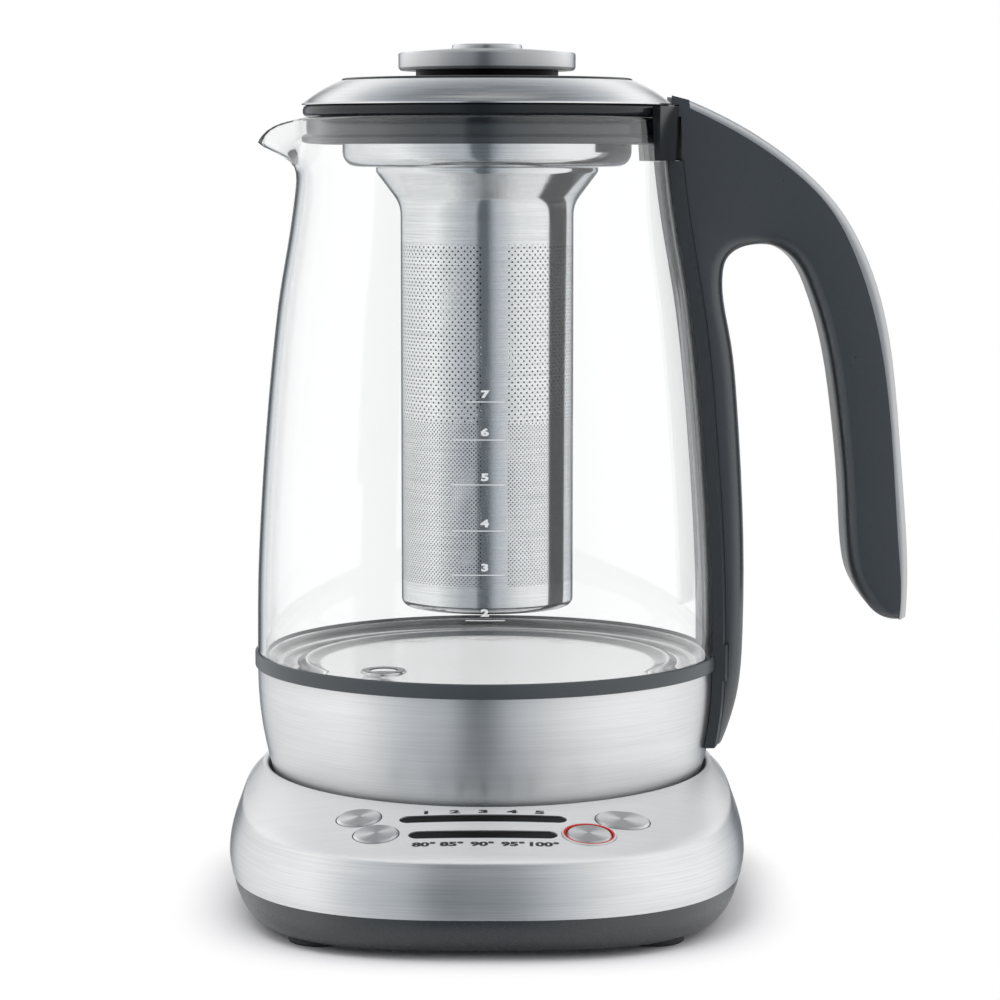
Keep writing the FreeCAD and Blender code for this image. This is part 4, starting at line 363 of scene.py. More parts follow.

# %% [markdown]
# ## Spun steel
#
# The knob and the buttons are faced on a lathe, which leaves rings about their own centre and makes
# the light stand in two opposite fans. Anisotropy shows them only in some lights, so the fans are also
# painted into the colour as painted highlights, lighter to the left and the right of the centre.


# %% Spun steel
def spun_steel(name, centre, roughness=0.42):
    steel = Finish(name, Metallic=1.0, Anisotropic=0.9, Anisotropic_Rotation=0.25)
    dx = steel.x - centre[0]
    distance = steel.reach(centre[0], centre[1])
    rings = steel.noise(steel.vector(distance * 5200, 0.0, 0.0), detail=3.0, roughness=0.7)
    # painted highlight: two bright fans, left and right of the centre, in the base colour
    painted_fan_highlight = (dx * dx / (distance * distance + 0.0000001)).ramp(0.15, 1.0)
    steel.varied(rings * 0.3 + painted_fan_highlight * 0.7, (0.36, 0.37, 0.38, 1), (0.97, 0.97, 0.975, 1))
    steel.set(Roughness=roughness + (rings - 0.5) * 0.1)
    steel.bump(rings, 0.000006)
    return steel.material


KNOB_STEEL = spun_steel("spun steel of the knob", (0, 0))
CENTRE_STEEL = spun_steel("spun steel of the centre", (0, 0), 0.35)
print("spun steels ready")

# %% [markdown]
# ## Cast, plated and pressed metals
#
# Smooth metal isn't quite even: a cloudy noise varies its shade, its gloss and, like orange peel, its
# surface. Polished steel, plated screws, aluminium and brass differ only in their numbers.


# %% Smooth metals
def metal(name, dark, light, roughness, scale=220.0, detail=3.0, spread=0.15, depth=0.00001):
    plain = Finish(name, Metallic=1.0)
    cloud = plain.noise(plain.place, scale=scale, detail=detail)
    plain.varied(cloud, dark, light)
    plain.set(Roughness=roughness + (cloud - 0.5) * spread)
    plain.bump(cloud, depth)
    return plain.material


BRIGHT = {"dark": (0.684, 0.684, 0.6876, 1), "light": (0.756, 0.756, 0.7596, 1),
          "scale": 140.0, "detail": 2.0, "spread": 0.05}
POLISHED = metal("polished steel", roughness=0.08, **BRIGHT)
SCREW_STEEL = metal("plated screws", roughness=0.2, **BRIGHT)
SHEATH_STEEL = metal("dull sheath", roughness=0.4, depth=0.00003, **BRIGHT)
ALUMINIUM = metal("aluminium", (0.62, 0.62, 0.63, 1), (0.74, 0.74, 0.75, 1), 0.38)
BRASS = metal("contact brass", (0.5, 0.38, 0.14, 1), (0.62, 0.48, 0.2, 1), 0.25)
print("smooth metals ready")

# %% [markdown]
# The floor of the jug is bright pressed sheet. Where it bends, it mirrors the dark room, and that is
# painted into its colour as painted reflection: the bends lie in rings, so a ramp of shades over the
# distance from the axis draws them, and outside the flat middle a streaky noise darkens it more.


# %% Pressed floor
FLOOR_PAINTED_RINGS = (
    (0.0, 0.62), (0.495, 0.66), (0.505, 0.2), (0.53, 0.12), (0.542, 0.85), (0.562, 0.85), (0.58, 0.22),
    (0.605, 0.14), (0.618, 0.6), (0.632, 0.1), (0.646, 0.3), (0.651, 0.9),
)
RING_UNIT = 0.1         # metres that stand for 1 in the list of rings


def pressed_floor():
    steel = Finish("pressed steel of the floor", Metallic=1.0)
    reach = steel.reach()
    cloud = steel.noise(steel.place, scale=140.0, detail=2.0)
    drawn = steel.noise(steel.vector(steel.x * 30, steel.y * 30, reach * 1500), detail=2.0)
    # painted reflection: rings of shade where the bends mirror the dark room
    rings = [(radius, grey(level)) for radius, level in FLOOR_PAINTED_RINGS]
    shade = steel.node("ValToRGB", {"stops": rings}, {"Fac": reach / RING_UNIT})
    # painted reflection: streaky darkening outside the flat middle
    painted_dark_streaks = (drawn - 0.3) * 1.8 * reach.ramp(0.048, 0.053)
    steel.set(Base_Color=steel.mixed(painted_dark_streaks, shade, grey(0.08)), Roughness=0.12 + (cloud - 0.5) * 0.05)
    steel.bump(cloud, 0.00008)
    return steel.material


FLOOR_STEEL = pressed_floor()
print("rings on the floor:", len(FLOOR_PAINTED_RINGS))

# %% [markdown]
# ## The perforated tube
#
# Thousands of fine holes could be cut out, at the price of a million faces. Here they are only clear in
# the shader: the height and the bearing of a point fold into one cell of the pattern, and alpha is 0
# within a hole's radius of its centre. Every second row stands between the holes of the first.


# %% A field of holes
EDGE = 0.00005          # softness of a hole's edge


def hole_field(along, up, pitch_x, pitch_z, hole):
    """1 inside a hole of a staggered pattern, 0 outside it."""
    distances = []
    for shift in (0.0, 0.5):
        x = (along + pitch_x * shift).wrapped(pitch_x)
        z = (up + pitch_z * shift).wrapped(pitch_z)
        distances.append((x * x + z * z).root())
    nearest = distances[0].calc("MINIMUM", distances[0], distances[1])
    return nearest.ramp(hole + EDGE, hole - EDGE)


TUBE_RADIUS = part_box("basket_tube")[1].x
TUBE_FOOT, TUBE_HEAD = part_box("basket_tube")[0].z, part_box("basket_tube")[1].z
print("tube from", TUBE_FOOT, "to", TUBE_HEAD)

# %% [markdown]
# The upper half has a wide pattern and the lower half a close one, and a plain strip is the seam. The
# inside is painted nearly black, as painted shade: it only mirrors itself, which takes many bounces to
# work out.


# %% Perforated steel
SEAM_PLACE = 0.0022     # along the wall from the front to the middle of the seam
SEAM_HALF = 0.0038
WIDE_FOOT = 0.1395
WIDE_HEAD = TUBE_HEAD - 0.0065
CLOSE_FOOT = TUBE_FOOT + 0.0018
CRISP = 0.00002


def perforated():
    steel = Finish("perforated steel", Metallic=1.0, Anisotropic=0.3, Anisotropic_Rotation=0.25)
    along = steel.x.calc("ARCTAN2", steel.x, 0 - steel.y) * TUBE_RADIUS
    up = steel.z - TUBE_FOOT
    wide = hole_field(along, up, 0.00184, 0.00204, 0.00027)
    close = hole_field(along, up, 0.00126, 0.00126, 0.00022)
    in_wide = steel.z.ramp(WIDE_FOOT - CRISP, WIDE_FOOT) * steel.z.ramp(WIDE_HEAD, WIDE_HEAD - CRISP)
    in_close = steel.z.ramp(WIDE_FOOT, WIDE_FOOT - CRISP) * steel.z.ramp(CLOSE_FOOT, CLOSE_FOOT + CRISP)
    seam = abs(along - SEAM_PLACE).ramp(SEAM_HALF + CRISP, SEAM_HALF)
    holes = (wide * in_wide + close * in_close) * (1 - seam)
    fine = steel.noise(steel.vector(steel.x * ALONG, steel.y * ALONG, steel.z * ACROSS), detail=3.0)
    # painted shade: near-black colour on the inside of the wall
    painted_shade_inside = steel.reach().ramp(TUBE_RADIUS - 0.00015, TUBE_RADIUS - 0.00025)
    steel.set(Base_Color=steel.mixed(painted_shade_inside, steel.mixed(fine, STEEL_DARK, STEEL_LIGHT), grey(0.04)))
    steel.set(Roughness=0.15 + (fine - 0.5) * 0.06 + painted_shade_inside * 0.25, Alpha=1 - holes)
    return steel.material


PERFORATED = perforated()
print("seam half width", SEAM_HALF)

# %% [markdown]
# ## Plastics, rubber and print
#
# Moulded plastic has the faint grain of its mould, which breaks up its gloss. One function makes all of
# these: the satin slate of the handle, the glossy lid and light bars, rubber, silicone and the print.


# %% Moulded finishes
def moulded(name, dark, light, roughness, grain=700.0, depth=0.00001, **uniform):
    plastic = Finish(name, **uniform)
    speck = plastic.noise(plastic.place, scale=grain, detail=3.0, roughness=0.6)
    drift = plastic.noise(plastic.place, scale=18.0, detail=1.0)
    plastic.varied(speck * 0.5 + drift * 0.5, (*dark, 1), (*light, 1))
    plastic.set(Roughness=roughness + (speck - 0.5) * 0.12)
    plastic.bump(speck, depth)
    return plastic.material


SLATE = moulded("slate plastic", (0.026, 0.032, 0.038), (0.038, 0.046, 0.053), 0.3, depth=0.00002,
                Specular_IOR_Level=0.9)
# painted shade: the pan is the slate plastic made darker for the shade under the base
PAN_WITH_PAINTED_SHADE = moulded("slate plastic of the pan with painted shade", (0.014, 0.017, 0.02), (0.02, 0.024, 0.028), 0.26,
              Specular_IOR_Level=0.85)
# painted shade: the strip is the slate plastic made darker for the shaded side of the handle
SLATE_STRIP_WITH_PAINTED_SHADE = moulded("slate plastic of the strip with painted shade", (0.026, 0.031, 0.035), (0.036, 0.042, 0.047), 0.34)
GLOSS_DARK = moulded("glossy dark plastic", (0.009, 0.011, 0.013), (0.015, 0.018, 0.021), 0.2,
                     depth=0.000004, Specular_IOR_Level=0.32)
WINDOW = moulded("light bar", (0.003, 0.003, 0.003), (0.007, 0.006, 0.005), 0.3, depth=0.000002,
                 Specular_IOR_Level=0.06)
GREY = moulded("grey inner plastic", (0.2, 0.2, 0.21), (0.26, 0.26, 0.27), 0.5)
SILICONE = moulded("silicone seal", (0.032, 0.037, 0.041), (0.048, 0.055, 0.06), 0.3, grain=300.0)
RUBBER = moulded("black rubber", (0.015, 0.015, 0.016), (0.03, 0.03, 0.032), 0.7, depth=0.00004)
RING_GREY = moulded("slate gasket", (0.045, 0.054, 0.061), (0.058, 0.068, 0.076), 0.36)
TRIM = moulded("satin silver trim", (0.42, 0.43, 0.44), (0.5, 0.51, 0.52), 0.34, depth=0.00002, Metallic=0.85)
LEAD = moulded("lead insulation", (0.5, 0.5, 0.48), (0.6, 0.6, 0.58), 0.5)
BOARD = moulded("green board", (0.015, 0.08, 0.03), (0.03, 0.12, 0.05), 0.35, grain=260.0)
PIPE = moulded("light pipe", (0.7, 0.7, 0.7), (0.8, 0.8, 0.8), 0.15)
INK = moulded("black print", (0.012, 0.012, 0.012), (0.02, 0.02, 0.02), 0.5, depth=0.000002)
WHITE_INK = moulded("white print", (0.86, 0.86, 0.86), (0.92, 0.92, 0.92), 0.5, depth=0.000002)
print("moulded finishes ready")

# %% [markdown]
# The ring round the start button is a red light guide in a bright steel rim. Two pieces would do, but
# it is one node of the CAD model, so its finish changes from red to steel at a radius.


# %% Red ring
RED_REACH = 0.00075     # width of the red line, from the inside of the ring


def red_ring():
    ring = Finish("red light ring", Specular_IOR_Level=0.15)
    middle = (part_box("start_ring")[0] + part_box("start_ring")[1]) / 2
    inner = min((vertex.co - middle).xy.length for vertex in nodes["start_ring"].data.vertices)
    rim = ring.reach(middle.x, middle.y).ramp(inner + RED_REACH, inner + RED_REACH + 0.00008)
    speck = ring.noise(ring.place, scale=700.0)
    ring.varied(rim, (0.55, 0.008, 0.005, 1), (0.8, 0.8, 0.81, 1))
    ring.set(Metallic=rim, Roughness=0.3 + (speck - 0.5) * 0.1)
    print("red ring from", inner)
    return ring.material


RED = red_ring()

# %% [markdown]
# ## Glass
#
# Clear glass is the Principled shader with full transmission. It would cast a dark shadow, because
# bent light is hard to follow, so the shader is almost clear for shadow rays.


# %% Glass
def clear_glass():
    glass = Finish("clear glass", Transmission_Weight=1.0, IOR=1.47, Base_Color=(0.985, 0.992, 0.992, 1))
    glass.set(Roughness=glass.noise(glass.place, scale=12.0, detail=1.0) * 0.004)
    glass.set(Alpha=1 - glass.node("LightPath", output=SHADOW_RAY) * 0.92)
    return glass.material


GLASS = clear_glass()
print(GLASS.name, "ready")

# %% [markdown]
# ## Tools for turned pieces
#
# Most of the jug is round. Such a piece could start as a cylinder, but a spin is closer to how it is
# made: its section is drawn as a chain of points and turned about the axis, as on a lathe. A corner of
# the section may carry a rounding, which becomes a few points on an arc.


# %% Sections
ARC_STEPS = 5


def rounded(corners, closed):
    """Points of a section in metres, from corners (radius, height[, rounding])."""
    points = []
    for index, corner in enumerate(corners):
        here = Vector(corner[:2])
        rounding = corner[2] if len(corner) > 2 else 0.0
        if not rounding:
            points.append(here)
            continue
        back = (Vector(corners[index - 1][:2]) - here).normalized()
        ahead = (Vector(corners[(index + 1) % len(corners)][:2]) - here).normalized()
        half = back.angle(ahead) / 2
        centre = here + (back + ahead).normalized() * (rounding / math.sin(half))
        start = (here + back * (rounding / math.tan(half)) - centre).normalized()
        end = (here + ahead * (rounding / math.tan(half)) - centre).normalized()
        for step in range(ARC_STEPS + 1):
            points.append(centre + start.slerp(end, step / ARC_STEPS) * rounding)
    if closed:
        points.append(points[0])
    return points


def spread(low, high, steps):
    """Evenly spaced values from low to high."""
    return [low + (high - low) * step / steps for step in range(steps + 1)]


print("halves of one:", spread(0, 1, 2))

# %% [markdown]
# Every piece ends in the same way: smooth shading that breaks only at true edges, its finish, the body
# it rides on and the CAD node it stands for.


# %% Ends of every piece
WELD = 0.000002         # vertices closer than this are one


def choose(*pieces):
    """Select pieces and make the first of them active."""
    bpy.ops.object.select_all(action="DESELECT")
    for piece in pieces:
        piece.select_set(True)
    bpy.context.view_layer.objects.active = pieces[0]


def weld(outward):
    """Join the vertices of the active piece that share a place."""
    bpy.ops.object.mode_set(mode="EDIT")
    bpy.ops.mesh.select_all(action="SELECT")
    bpy.ops.mesh.remove_doubles(threshold=WELD)
    if outward:
        bpy.ops.mesh.normals_make_consistent(inside=False)
    bpy.ops.object.mode_set(mode="OBJECT")


def finish_piece(piece, material, body, replaced=None, angle=32.0):
    """Give a piece its finish and tie it to the frame; without an angle it stays flat shaded."""
    choose(piece)
    if angle:
        bpy.ops.object.shade_smooth_by_angle(angle=math.radians(angle))
    piece.data.materials.clear()
    piece.data.materials.append(material)
    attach(piece, body)
    if replaced:
        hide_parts(replaced)
    print(piece.name, "faces", len(piece.data.polygons))


print("weld below", WELD)

# %% [markdown]
# To draw a section, a plane is merged to a single vertex, which is extruded from point to point. A CAD
# node that keeps its shape has loose triangles, which shade flat, so it is copied and welded.


# %% Turned and softened pieces
STEPS = 144


def turned(name, corners, material, body, replaced, closed=True, steps=STEPS):
    """Spin a section about the jug's axis; one that ends on the axis isn't closed."""
    points = rounded(corners, closed)
    bpy.ops.mesh.primitive_plane_add(size=0.01)
    piece = bpy.context.object
    piece.name = name
    piece.data.name = name
    bpy.ops.object.mode_set(mode="EDIT")
    bpy.ops.mesh.merge(type="CENTER")
    bpy.ops.transform.translate(value=(points[0].x, 0, points[0].y))
    for here, following in zip(points, points[1:]):
        step = following - here
        bpy.ops.mesh.extrude_vertices_move(TRANSFORM_OT_translate={"value": (step.x, 0, step.y)})
    bpy.ops.mesh.select_all(action="SELECT")
    bpy.ops.mesh.spin(steps=steps, angle=2 * math.pi, center=(0, 0, 0), axis=(0, 0, 1))
    weld(outward=True)
    finish_piece(piece, material, body, replaced)
    return piece


def softened(node, material, body, angle=32.0):
    """A copy of a CAD node with its triangles joined."""
    piece = bpy.data.objects.new(node + "_finished", nodes[node].data.copy())
    bpy.context.scene.collection.objects.link(piece)
    choose(piece)
    bpy.ops.mesh.customdata_custom_splitnormals_clear()
    weld(outward=False)
    finish_piece(piece, material, body, node, angle)


print("steps of a spin:", STEPS)

# %% [markdown]
# ## The skirt
#
# The steel skirt under the glass narrows to its foot in a gentle curve. Its outside follows one
# formula, and its inside is the same curve one sheet further in, with a flange at the top.
# %% Skirt
SKIRT_FOOT, SKIRT_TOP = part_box("skirt")[0].z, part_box("skirt")[1].z
SKIRT_RADIUS = -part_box("skirt")[0].x
SKIRT_TAPER = 0.006
SKIRT_POWER = 2.2
SHEET = 0.001
FLANGE = 0.0052
outside = []
for level in spread(SKIRT_FOOT, SKIRT_TOP, 24):
    share = (SKIRT_TOP - level) / (SKIRT_TOP - SKIRT_FOOT)
    outside.append((SKIRT_RADIUS - SKIRT_TAPER * max(0.0, share) ** SKIRT_POWER, level))
inside = [(radius - SHEET, level) for radius, level in outside if level < SKIRT_TOP - SHEET]
flange = [(SKIRT_RADIUS - FLANGE, SKIRT_TOP), (SKIRT_RADIUS - FLANGE, SKIRT_TOP - SHEET)]
turned("jug_skirt", outside + flange + inside[::-1], SKIRT_STEEL, "jug", "skirt")

# %% [markdown]
# ## The slate ring and the floor of the jug
#
# A slate ring covers the joint of glass and steel. It is moulded, but round, so it is turned here.
# %% Ring round the foot of the glass
RING_FOOT, RING_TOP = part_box("foot_ring")[0].z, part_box("foot_ring")[1].z
RING_RADIUS = -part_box("foot_ring")[0].x
GLASS_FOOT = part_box("glass_jug")[0].z
GLASS_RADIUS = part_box("glass_jug")[1].y
RING_INNER = GLASS_RADIUS + 0.0001
RING_LEDGE = GLASS_RADIUS - 0.0007
turned("foot_ring_finished", [
    (RING_LEDGE, RING_FOOT), (RING_RADIUS, RING_FOOT, 0.0003), (RING_RADIUS, RING_TOP, 0.0005),
    (RING_INNER, RING_TOP), (RING_INNER, GLASS_FOOT), (RING_LEDGE, GLASS_FOOT),
], RING_GREY, "jug", "foot_ring")

# %% [markdown]
# Inside, the floor is one pressing: a raised rim, a channel and a bead round a flat middle, where the
# sensor sits as a small disc. The lower face is the upper one again, one sheet further down.


# %% Floor of the jug
FLAT_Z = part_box("floor_plate")[1].z - 0.0035
FLOOR_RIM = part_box("floor_plate")[1].x
PRESSING = 0.0008


def floor_section(drop):
    low = FLAT_Z - drop
    return [
        (FLOOR_RIM, low + 0.0035), (FLOOR_RIM - 0.0012, low + 0.0025, 0.0008),
        (FLOOR_RIM - 0.003, low + 0.001, 0.0012), (FLOOR_RIM - 0.0046, low + 0.0006, 0.0012),
        (0.0567, low + 0.0006, 0.001), (0.0541, low + 0.0015, 0.001), (0.05, low, 0.0015), (0.0, low),
    ]


floor_faces = floor_section(0.0)[::-1] + floor_section(PRESSING)
turned("jug_floor", floor_faces, FLOOR_STEEL, "jug", "floor_plate", closed=False)
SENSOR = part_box("temp_sensor")
SENSOR_RADIUS = (SENSOR[1].x - SENSOR[0].x) / 2
sensor = turned("sensor_disc", [
    (0.0, FLAT_Z - 0.0004), (SENSOR_RADIUS, FLAT_Z - 0.0004), (SENSOR_RADIUS, FLAT_Z + 0.0004, 0.0003),
    (SENSOR_RADIUS - 0.0012, FLAT_Z + 0.0004), (SENSOR_RADIUS - 0.0016, FLAT_Z + 0.0002),
    (0.0, FLAT_Z + 0.0003),
], POLISHED, "jug", "temp_sensor", closed=False, steps=64)
middle = (SENSOR[0] + SENSOR[1]) / 2
middle.z = 0
for vertex in sensor.data.vertices:
    vertex.co += middle

# %% [markdown]
# ## The glass
#
# The jug is a blown wall of even thickness, which tapers faster and faster up to its neck. A spline
# could be drawn for it, but a formula gives the radius at any height, which the print needs too.


# %% Curve of the glass
GLASS_RIM = GLASS_FOOT + 0.1602
NECK = 0.0546
WALL = 0.0023
TAPER = ((0.0, 0.0), (0.18, 0.035), (0.42, 0.21), (0.65, 0.48), (0.80, 0.765), (0.91, 0.93), (1.0, 1.0))


def slope_at(points, index):
    low = points[max(0, index - 1)]
    high = points[min(len(points) - 1, index + 1)]
    return (high[1] - low[1]) / (high[0] - low[0])


def smooth_through(points, place):
    """Height, at a place, of a smooth curve through points (place, height)."""
    index = max(i for i in range(len(points) - 1) if points[i][0] <= place or i == 0)
    (x0, y0), (x1, y1) = points[index], points[index + 1]
    width = x1 - x0
    t = (place - x0) / width
    rise = (2 * t ** 3 - 3 * t ** 2 + 1) * y0 + (3 * t ** 2 - 2 * t ** 3) * y1
    start = (t ** 3 - 2 * t ** 2 + t) * width * slope_at(points, index)
    end = (t ** 3 - t ** 2) * width * slope_at(points, index + 1)
    return rise + start + end


def glass_radius(height):
    share = min(1.0, max(0.0, (height - GLASS_FOOT) / (GLASS_RIM - GLASS_FOOT)))
    return GLASS_RADIUS - (GLASS_RADIUS - NECK) * smooth_through(TAPER, share)


print("neck radius", glass_radius(GLASS_RIM), "foot radius", glass_radius(GLASS_FOOT))

# %% [markdown]
# The rim is fire polished, so its edge is a half round. A modifier could thicken a single surface, but
# outside, rim and inside as one closed section spin to a cleaner wall, which refracts well.


# %% Glass jug
HALF_WALL = WALL / 2
lowest, highest = GLASS_FOOT + HALF_WALL, GLASS_RIM - HALF_WALL


def half_round(centre, side):
    """Points of a half round edge above a wall (side 1) or below it (side -1)."""
    angles = spread(0, math.pi, 8)[1:-1]
    return [centre + Vector((math.cos(angle), math.sin(angle))) * HALF_WALL * side for angle in angles]


levels = spread(lowest, highest, 64)
outer_wall = [Vector((glass_radius(level), level)) for level in levels]
inner_wall = [Vector((glass_radius(level) - WALL, level)) for level in levels]
rim_edge = half_round(Vector((NECK - HALF_WALL, highest)), 1)
foot_edge = half_round((outer_wall[0] + inner_wall[0]) / 2, -1)
section = outer_wall + rim_edge + inner_wall[::-1] + foot_edge
glass = turned("jug_glass", section, GLASS, "jug", "glass_jug", steps=192)

# %% [markdown]
# The spout is drawn out of the soft rim: near the bearing of -X, the rim is pulled outwards and bent
# down, and the pull dies away around it. The move is worked out for each vertex, because no single
# tool has that shape.
# %% Spout
SPOUT_DEPTH = 0.020     # the pull reaches this far below the rim
SPOUT_REACH = 0.0129
SPOUT_ANGLE = math.radians(11.5)
SPOUT_FADE = 0.44
SPOUT_END = 1.6         # in depths, where the pull is over
for vertex in glass.data.vertices:
    x, y, z = vertex.co
    share = (GLASS_RIM - z) / SPOUT_DEPTH
    if share < SPOUT_END:
        near = math.exp(-(math.atan2(y, -x) / SPOUT_ANGLE) ** 2)
        outward = SPOUT_REACH * near * math.exp(-(share / SPOUT_FADE) ** 2)
        sink = (0.0032 * near + 0.0037 * near ** 5) * max(0.0, 1 - share) ** 1.5
        growth = 1 + outward / math.hypot(x, y)
        vertex.co = Vector((x * growth, y * growth, z - sink))
print("spout reaches", min(vertex.co.x for vertex in glass.data.vertices))

# %% [markdown]
# ## The lid
#
# The lid is a crowned ring of steel over a dark glossy body. A flat arc runs from its hem to its
# opening, twice, one sheet apart, and the hem joins the two round the outside.


# %% Steel ring of the lid
LID_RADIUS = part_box("lid_ring")[1].x
LID_FOOT, LID_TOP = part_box("lid_ring")[0].z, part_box("lid_ring")[1].z
LID_OPENING = 0.0431
LID_SHEET = 0.0012
LID_BULGE = 0.00045
LID_LIP = 0.0008        # nearly level lip round the hem, which catches the light


def lid_crown(inset):
    """Arc of the ring from its hem to its opening, moved in by inset."""
    hem = Vector((LID_RADIUS - LID_LIP - inset, LID_FOOT + 0.0009))
    crown = Vector((LID_OPENING, LID_TOP - inset))
    across = (crown - hem).normalized()
    outward = Vector((across.y, -across.x))
    return [hem.lerp(crown, share) + outward * LID_BULGE * 4 * share * (1 - share)
            for share in spread(0, 1, 14)]


hem = [(LID_RADIUS - LID_SHEET, LID_FOOT), (LID_RADIUS, LID_FOOT), (LID_RADIUS, LID_FOOT + 0.0004)]
lid_section = lid_crown(0.0) + lid_crown(LID_SHEET)[::-1] + hem
turned("lid_ring_finished", lid_section, RING_STEEL, "lid", "lid_ring")

# %% [markdown]
# The body of the lid and its soft seal sit in the neck of the glass. The seal has a lip that wipes the
# glass, with the large roundings of soft silicone.
# %% Body and seal of the lid
BODY_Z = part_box("lid_body")[0].z
turned("lid_body_finished", [
    (0.0428, BODY_Z), (0.049, BODY_Z), (0.049, BODY_Z + 0.006), (0.0541, BODY_Z + 0.006, 0.0014),
    (0.0541, BODY_Z + 0.0094, 0.0014), (0.0517, BODY_Z + 0.0094), (0.0444, BODY_Z + 0.0145),
    (0.0428, BODY_Z + 0.0145),
], GLOSS_DARK, "lid", "lid_body")
SEAL_FOOT, SEAL_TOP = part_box("lid_seal")[0].z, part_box("lid_seal")[1].z
SEAL_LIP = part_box("lid_seal")[1].x
SEAL_BODY = SEAL_LIP - 0.0016
turned("lid_seal_finished", [
    (0.0491, SEAL_FOOT + 0.002), (0.0476, SEAL_FOOT), (SEAL_LIP, SEAL_FOOT, 0.0006),
    (SEAL_LIP, SEAL_FOOT + 0.0018, 0.0008), (SEAL_BODY, SEAL_FOOT + 0.0026, 0.0006),
    (SEAL_BODY, SEAL_TOP - 0.002, 0.001), (0.0491, SEAL_TOP - 0.002),
], SILICONE, "lid", "lid_seal")

# %% [markdown]
# ## The tea basket
#
# A spun collar hangs on the ledge of the lid and narrows in a funnel to the tube, which ends in a
# closed cup. All three are thin sheet, so a section runs down one side and back up the other.
# %% Basket
FLANGE_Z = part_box("basket_collar")[1].z
THIN = 0.0006           # sheet of the collar and the cup
SHELF = FLANGE_Z - THIN - 0.0232
FUNNEL_FOOT = SHELF - 0.011
COLLAR = 0.0425
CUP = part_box("basket_base")[0].z
INNER = TUBE_RADIUS - THIN
turned("basket_collar_finished", [
    (0.0426, FLANGE_Z - THIN), (0.0426, FLANGE_Z), (COLLAR - THIN, FLANGE_Z),
    (COLLAR - THIN, SHELF + THIN, 0.0039), (0.0323 - THIN, SHELF + THIN, 0.0018),
    (INNER, FUNNEL_FOOT, 0.0094), (INNER, TUBE_HEAD), (TUBE_RADIUS, TUBE_HEAD),
    (TUBE_RADIUS, FUNNEL_FOOT, 0.0088), (0.0327, SHELF - 0.0014, 0.0018), (0.0327, SHELF, 0.0004),
    (COLLAR, SHELF, 0.0045), (COLLAR, FLANGE_Z - THIN),
], BASKET_STEEL, "basket", "basket_collar")
turned("basket_tube_finished", [
    (TUBE_RADIUS, TUBE_FOOT), (TUBE_RADIUS, TUBE_HEAD), (TUBE_RADIUS - 0.0004, TUBE_HEAD),
    (TUBE_RADIUS - 0.0004, TUBE_FOOT),
], PERFORATED, "basket", "basket_tube", steps=192)
turned("basket_cup", [
    (0.0, CUP), (TUBE_RADIUS, CUP, 0.0022), (TUBE_RADIUS, TUBE_FOOT), (INNER, TUBE_FOOT),
    (INNER, CUP + THIN, 0.0016), (0.0, CUP + THIN),
], BASKET_STEEL, "basket", "basket_base", closed=False)

# %% [markdown]
# ## The knob
#
# A dark plate closes the basket, and a dark foot on it carries the knob, a steel disc with a small
# raised centre. A bevelled cylinder would do, but for the top of the disc, which is slightly crowned.
# %% Knob
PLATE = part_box("basket_lid_plate")
PLATE_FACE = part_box("knob_stem")[0].z
PLATE_BACK = PLATE_FACE - 0.0021
BORE = 0.0019
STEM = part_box("knob_stem")[1].x
KNOB_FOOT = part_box("knob_cap")[0].z
turned("basket_plate", [
    (BORE, PLATE_BACK), (0.0384, PLATE_BACK), (0.0384, PLATE[0].z), (0.04, PLATE[0].z), (0.04, PLATE_BACK),
    (PLATE[1].x, PLATE_BACK), (PLATE[1].x, PLATE_FACE, 0.0007), (BORE, PLATE_FACE),
], GLOSS_DARK, "basket_lid", "basket_lid_plate")
turned("knob_foot", [
    (BORE, PLATE_FACE), (STEM, PLATE_FACE), (STEM, KNOB_FOOT), (0.008, KNOB_FOOT),
    (0.008, KNOB_FOOT + 0.003), (BORE, KNOB_FOOT + 0.003),
], WINDOW, "basket_lid", "knob_stem")
KNOB_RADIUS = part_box("knob_cap")[1].x
KNOB_EDGE = KNOB_FOOT + 0.0051
KNOB_CROWN = 0.0014
CENTRE_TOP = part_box("knob_centre")[1].z
CENTRE_FOOT = CENTRE_TOP - 0.0016
crown = [(KNOB_RADIUS * share, KNOB_EDGE + KNOB_CROWN * (1 - share * share))
         for share in spread(0.96, 0.42, 10)]
knob_edge = [
    (0.0081, KNOB_FOOT), (KNOB_RADIUS - 0.0006, KNOB_FOOT, 0.0003), (KNOB_RADIUS, KNOB_FOOT + 0.0008, 0.0003),
    (KNOB_RADIUS, KNOB_EDGE, 0.0006),
]
seat_edge = crown[-1][1]
seat = [(0.0104, seat_edge), (0.0104, seat_edge - 0.0006), (0.0081, seat_edge - 0.0006)]
turned("knob_disc", knob_edge + crown + seat, KNOB_STEEL, "basket_lid", "knob_cap")
turned("knob_button", [
    (0.0, CENTRE_FOOT), (0.0103, CENTRE_FOOT), (0.0103, CENTRE_TOP, 0.0006), (0.0, CENTRE_TOP),
], CENTRE_STEEL, "basket_lid", "knob_centre", closed=False)

# %% [markdown]
# ## Moulded pieces
#
# The handle and the base keep their CAD shapes and only get smooth shading. A larger angle lets it
# run over soft bends, while true edges stay sharp.
# %% Handle and base
softened("handle_body", SLATE, "jug", 40.0)
softened("handle_back", SLATE_STRIP_WITH_PAINTED_SHADE, "jug")
softened("neck_bracket", GLOSS_DARK, "jug")
softened("handle_trim", TRIM, "jug", 40.0)
softened("base_pan", PAN_WITH_PAINTED_SHADE, "root", 40.0)
softened("start_ring", RED, "root")

# %% [markdown]
# ## The cover of the base
#
# The cover is one pressing: a bellied side, a soft shoulder, a leaning panel and a rim round the jug.
# Its plan is a circle at the rim and a rounded square at the shoulder. That could be a bevelled box,
# but a formula lets its sides bulge a little too.


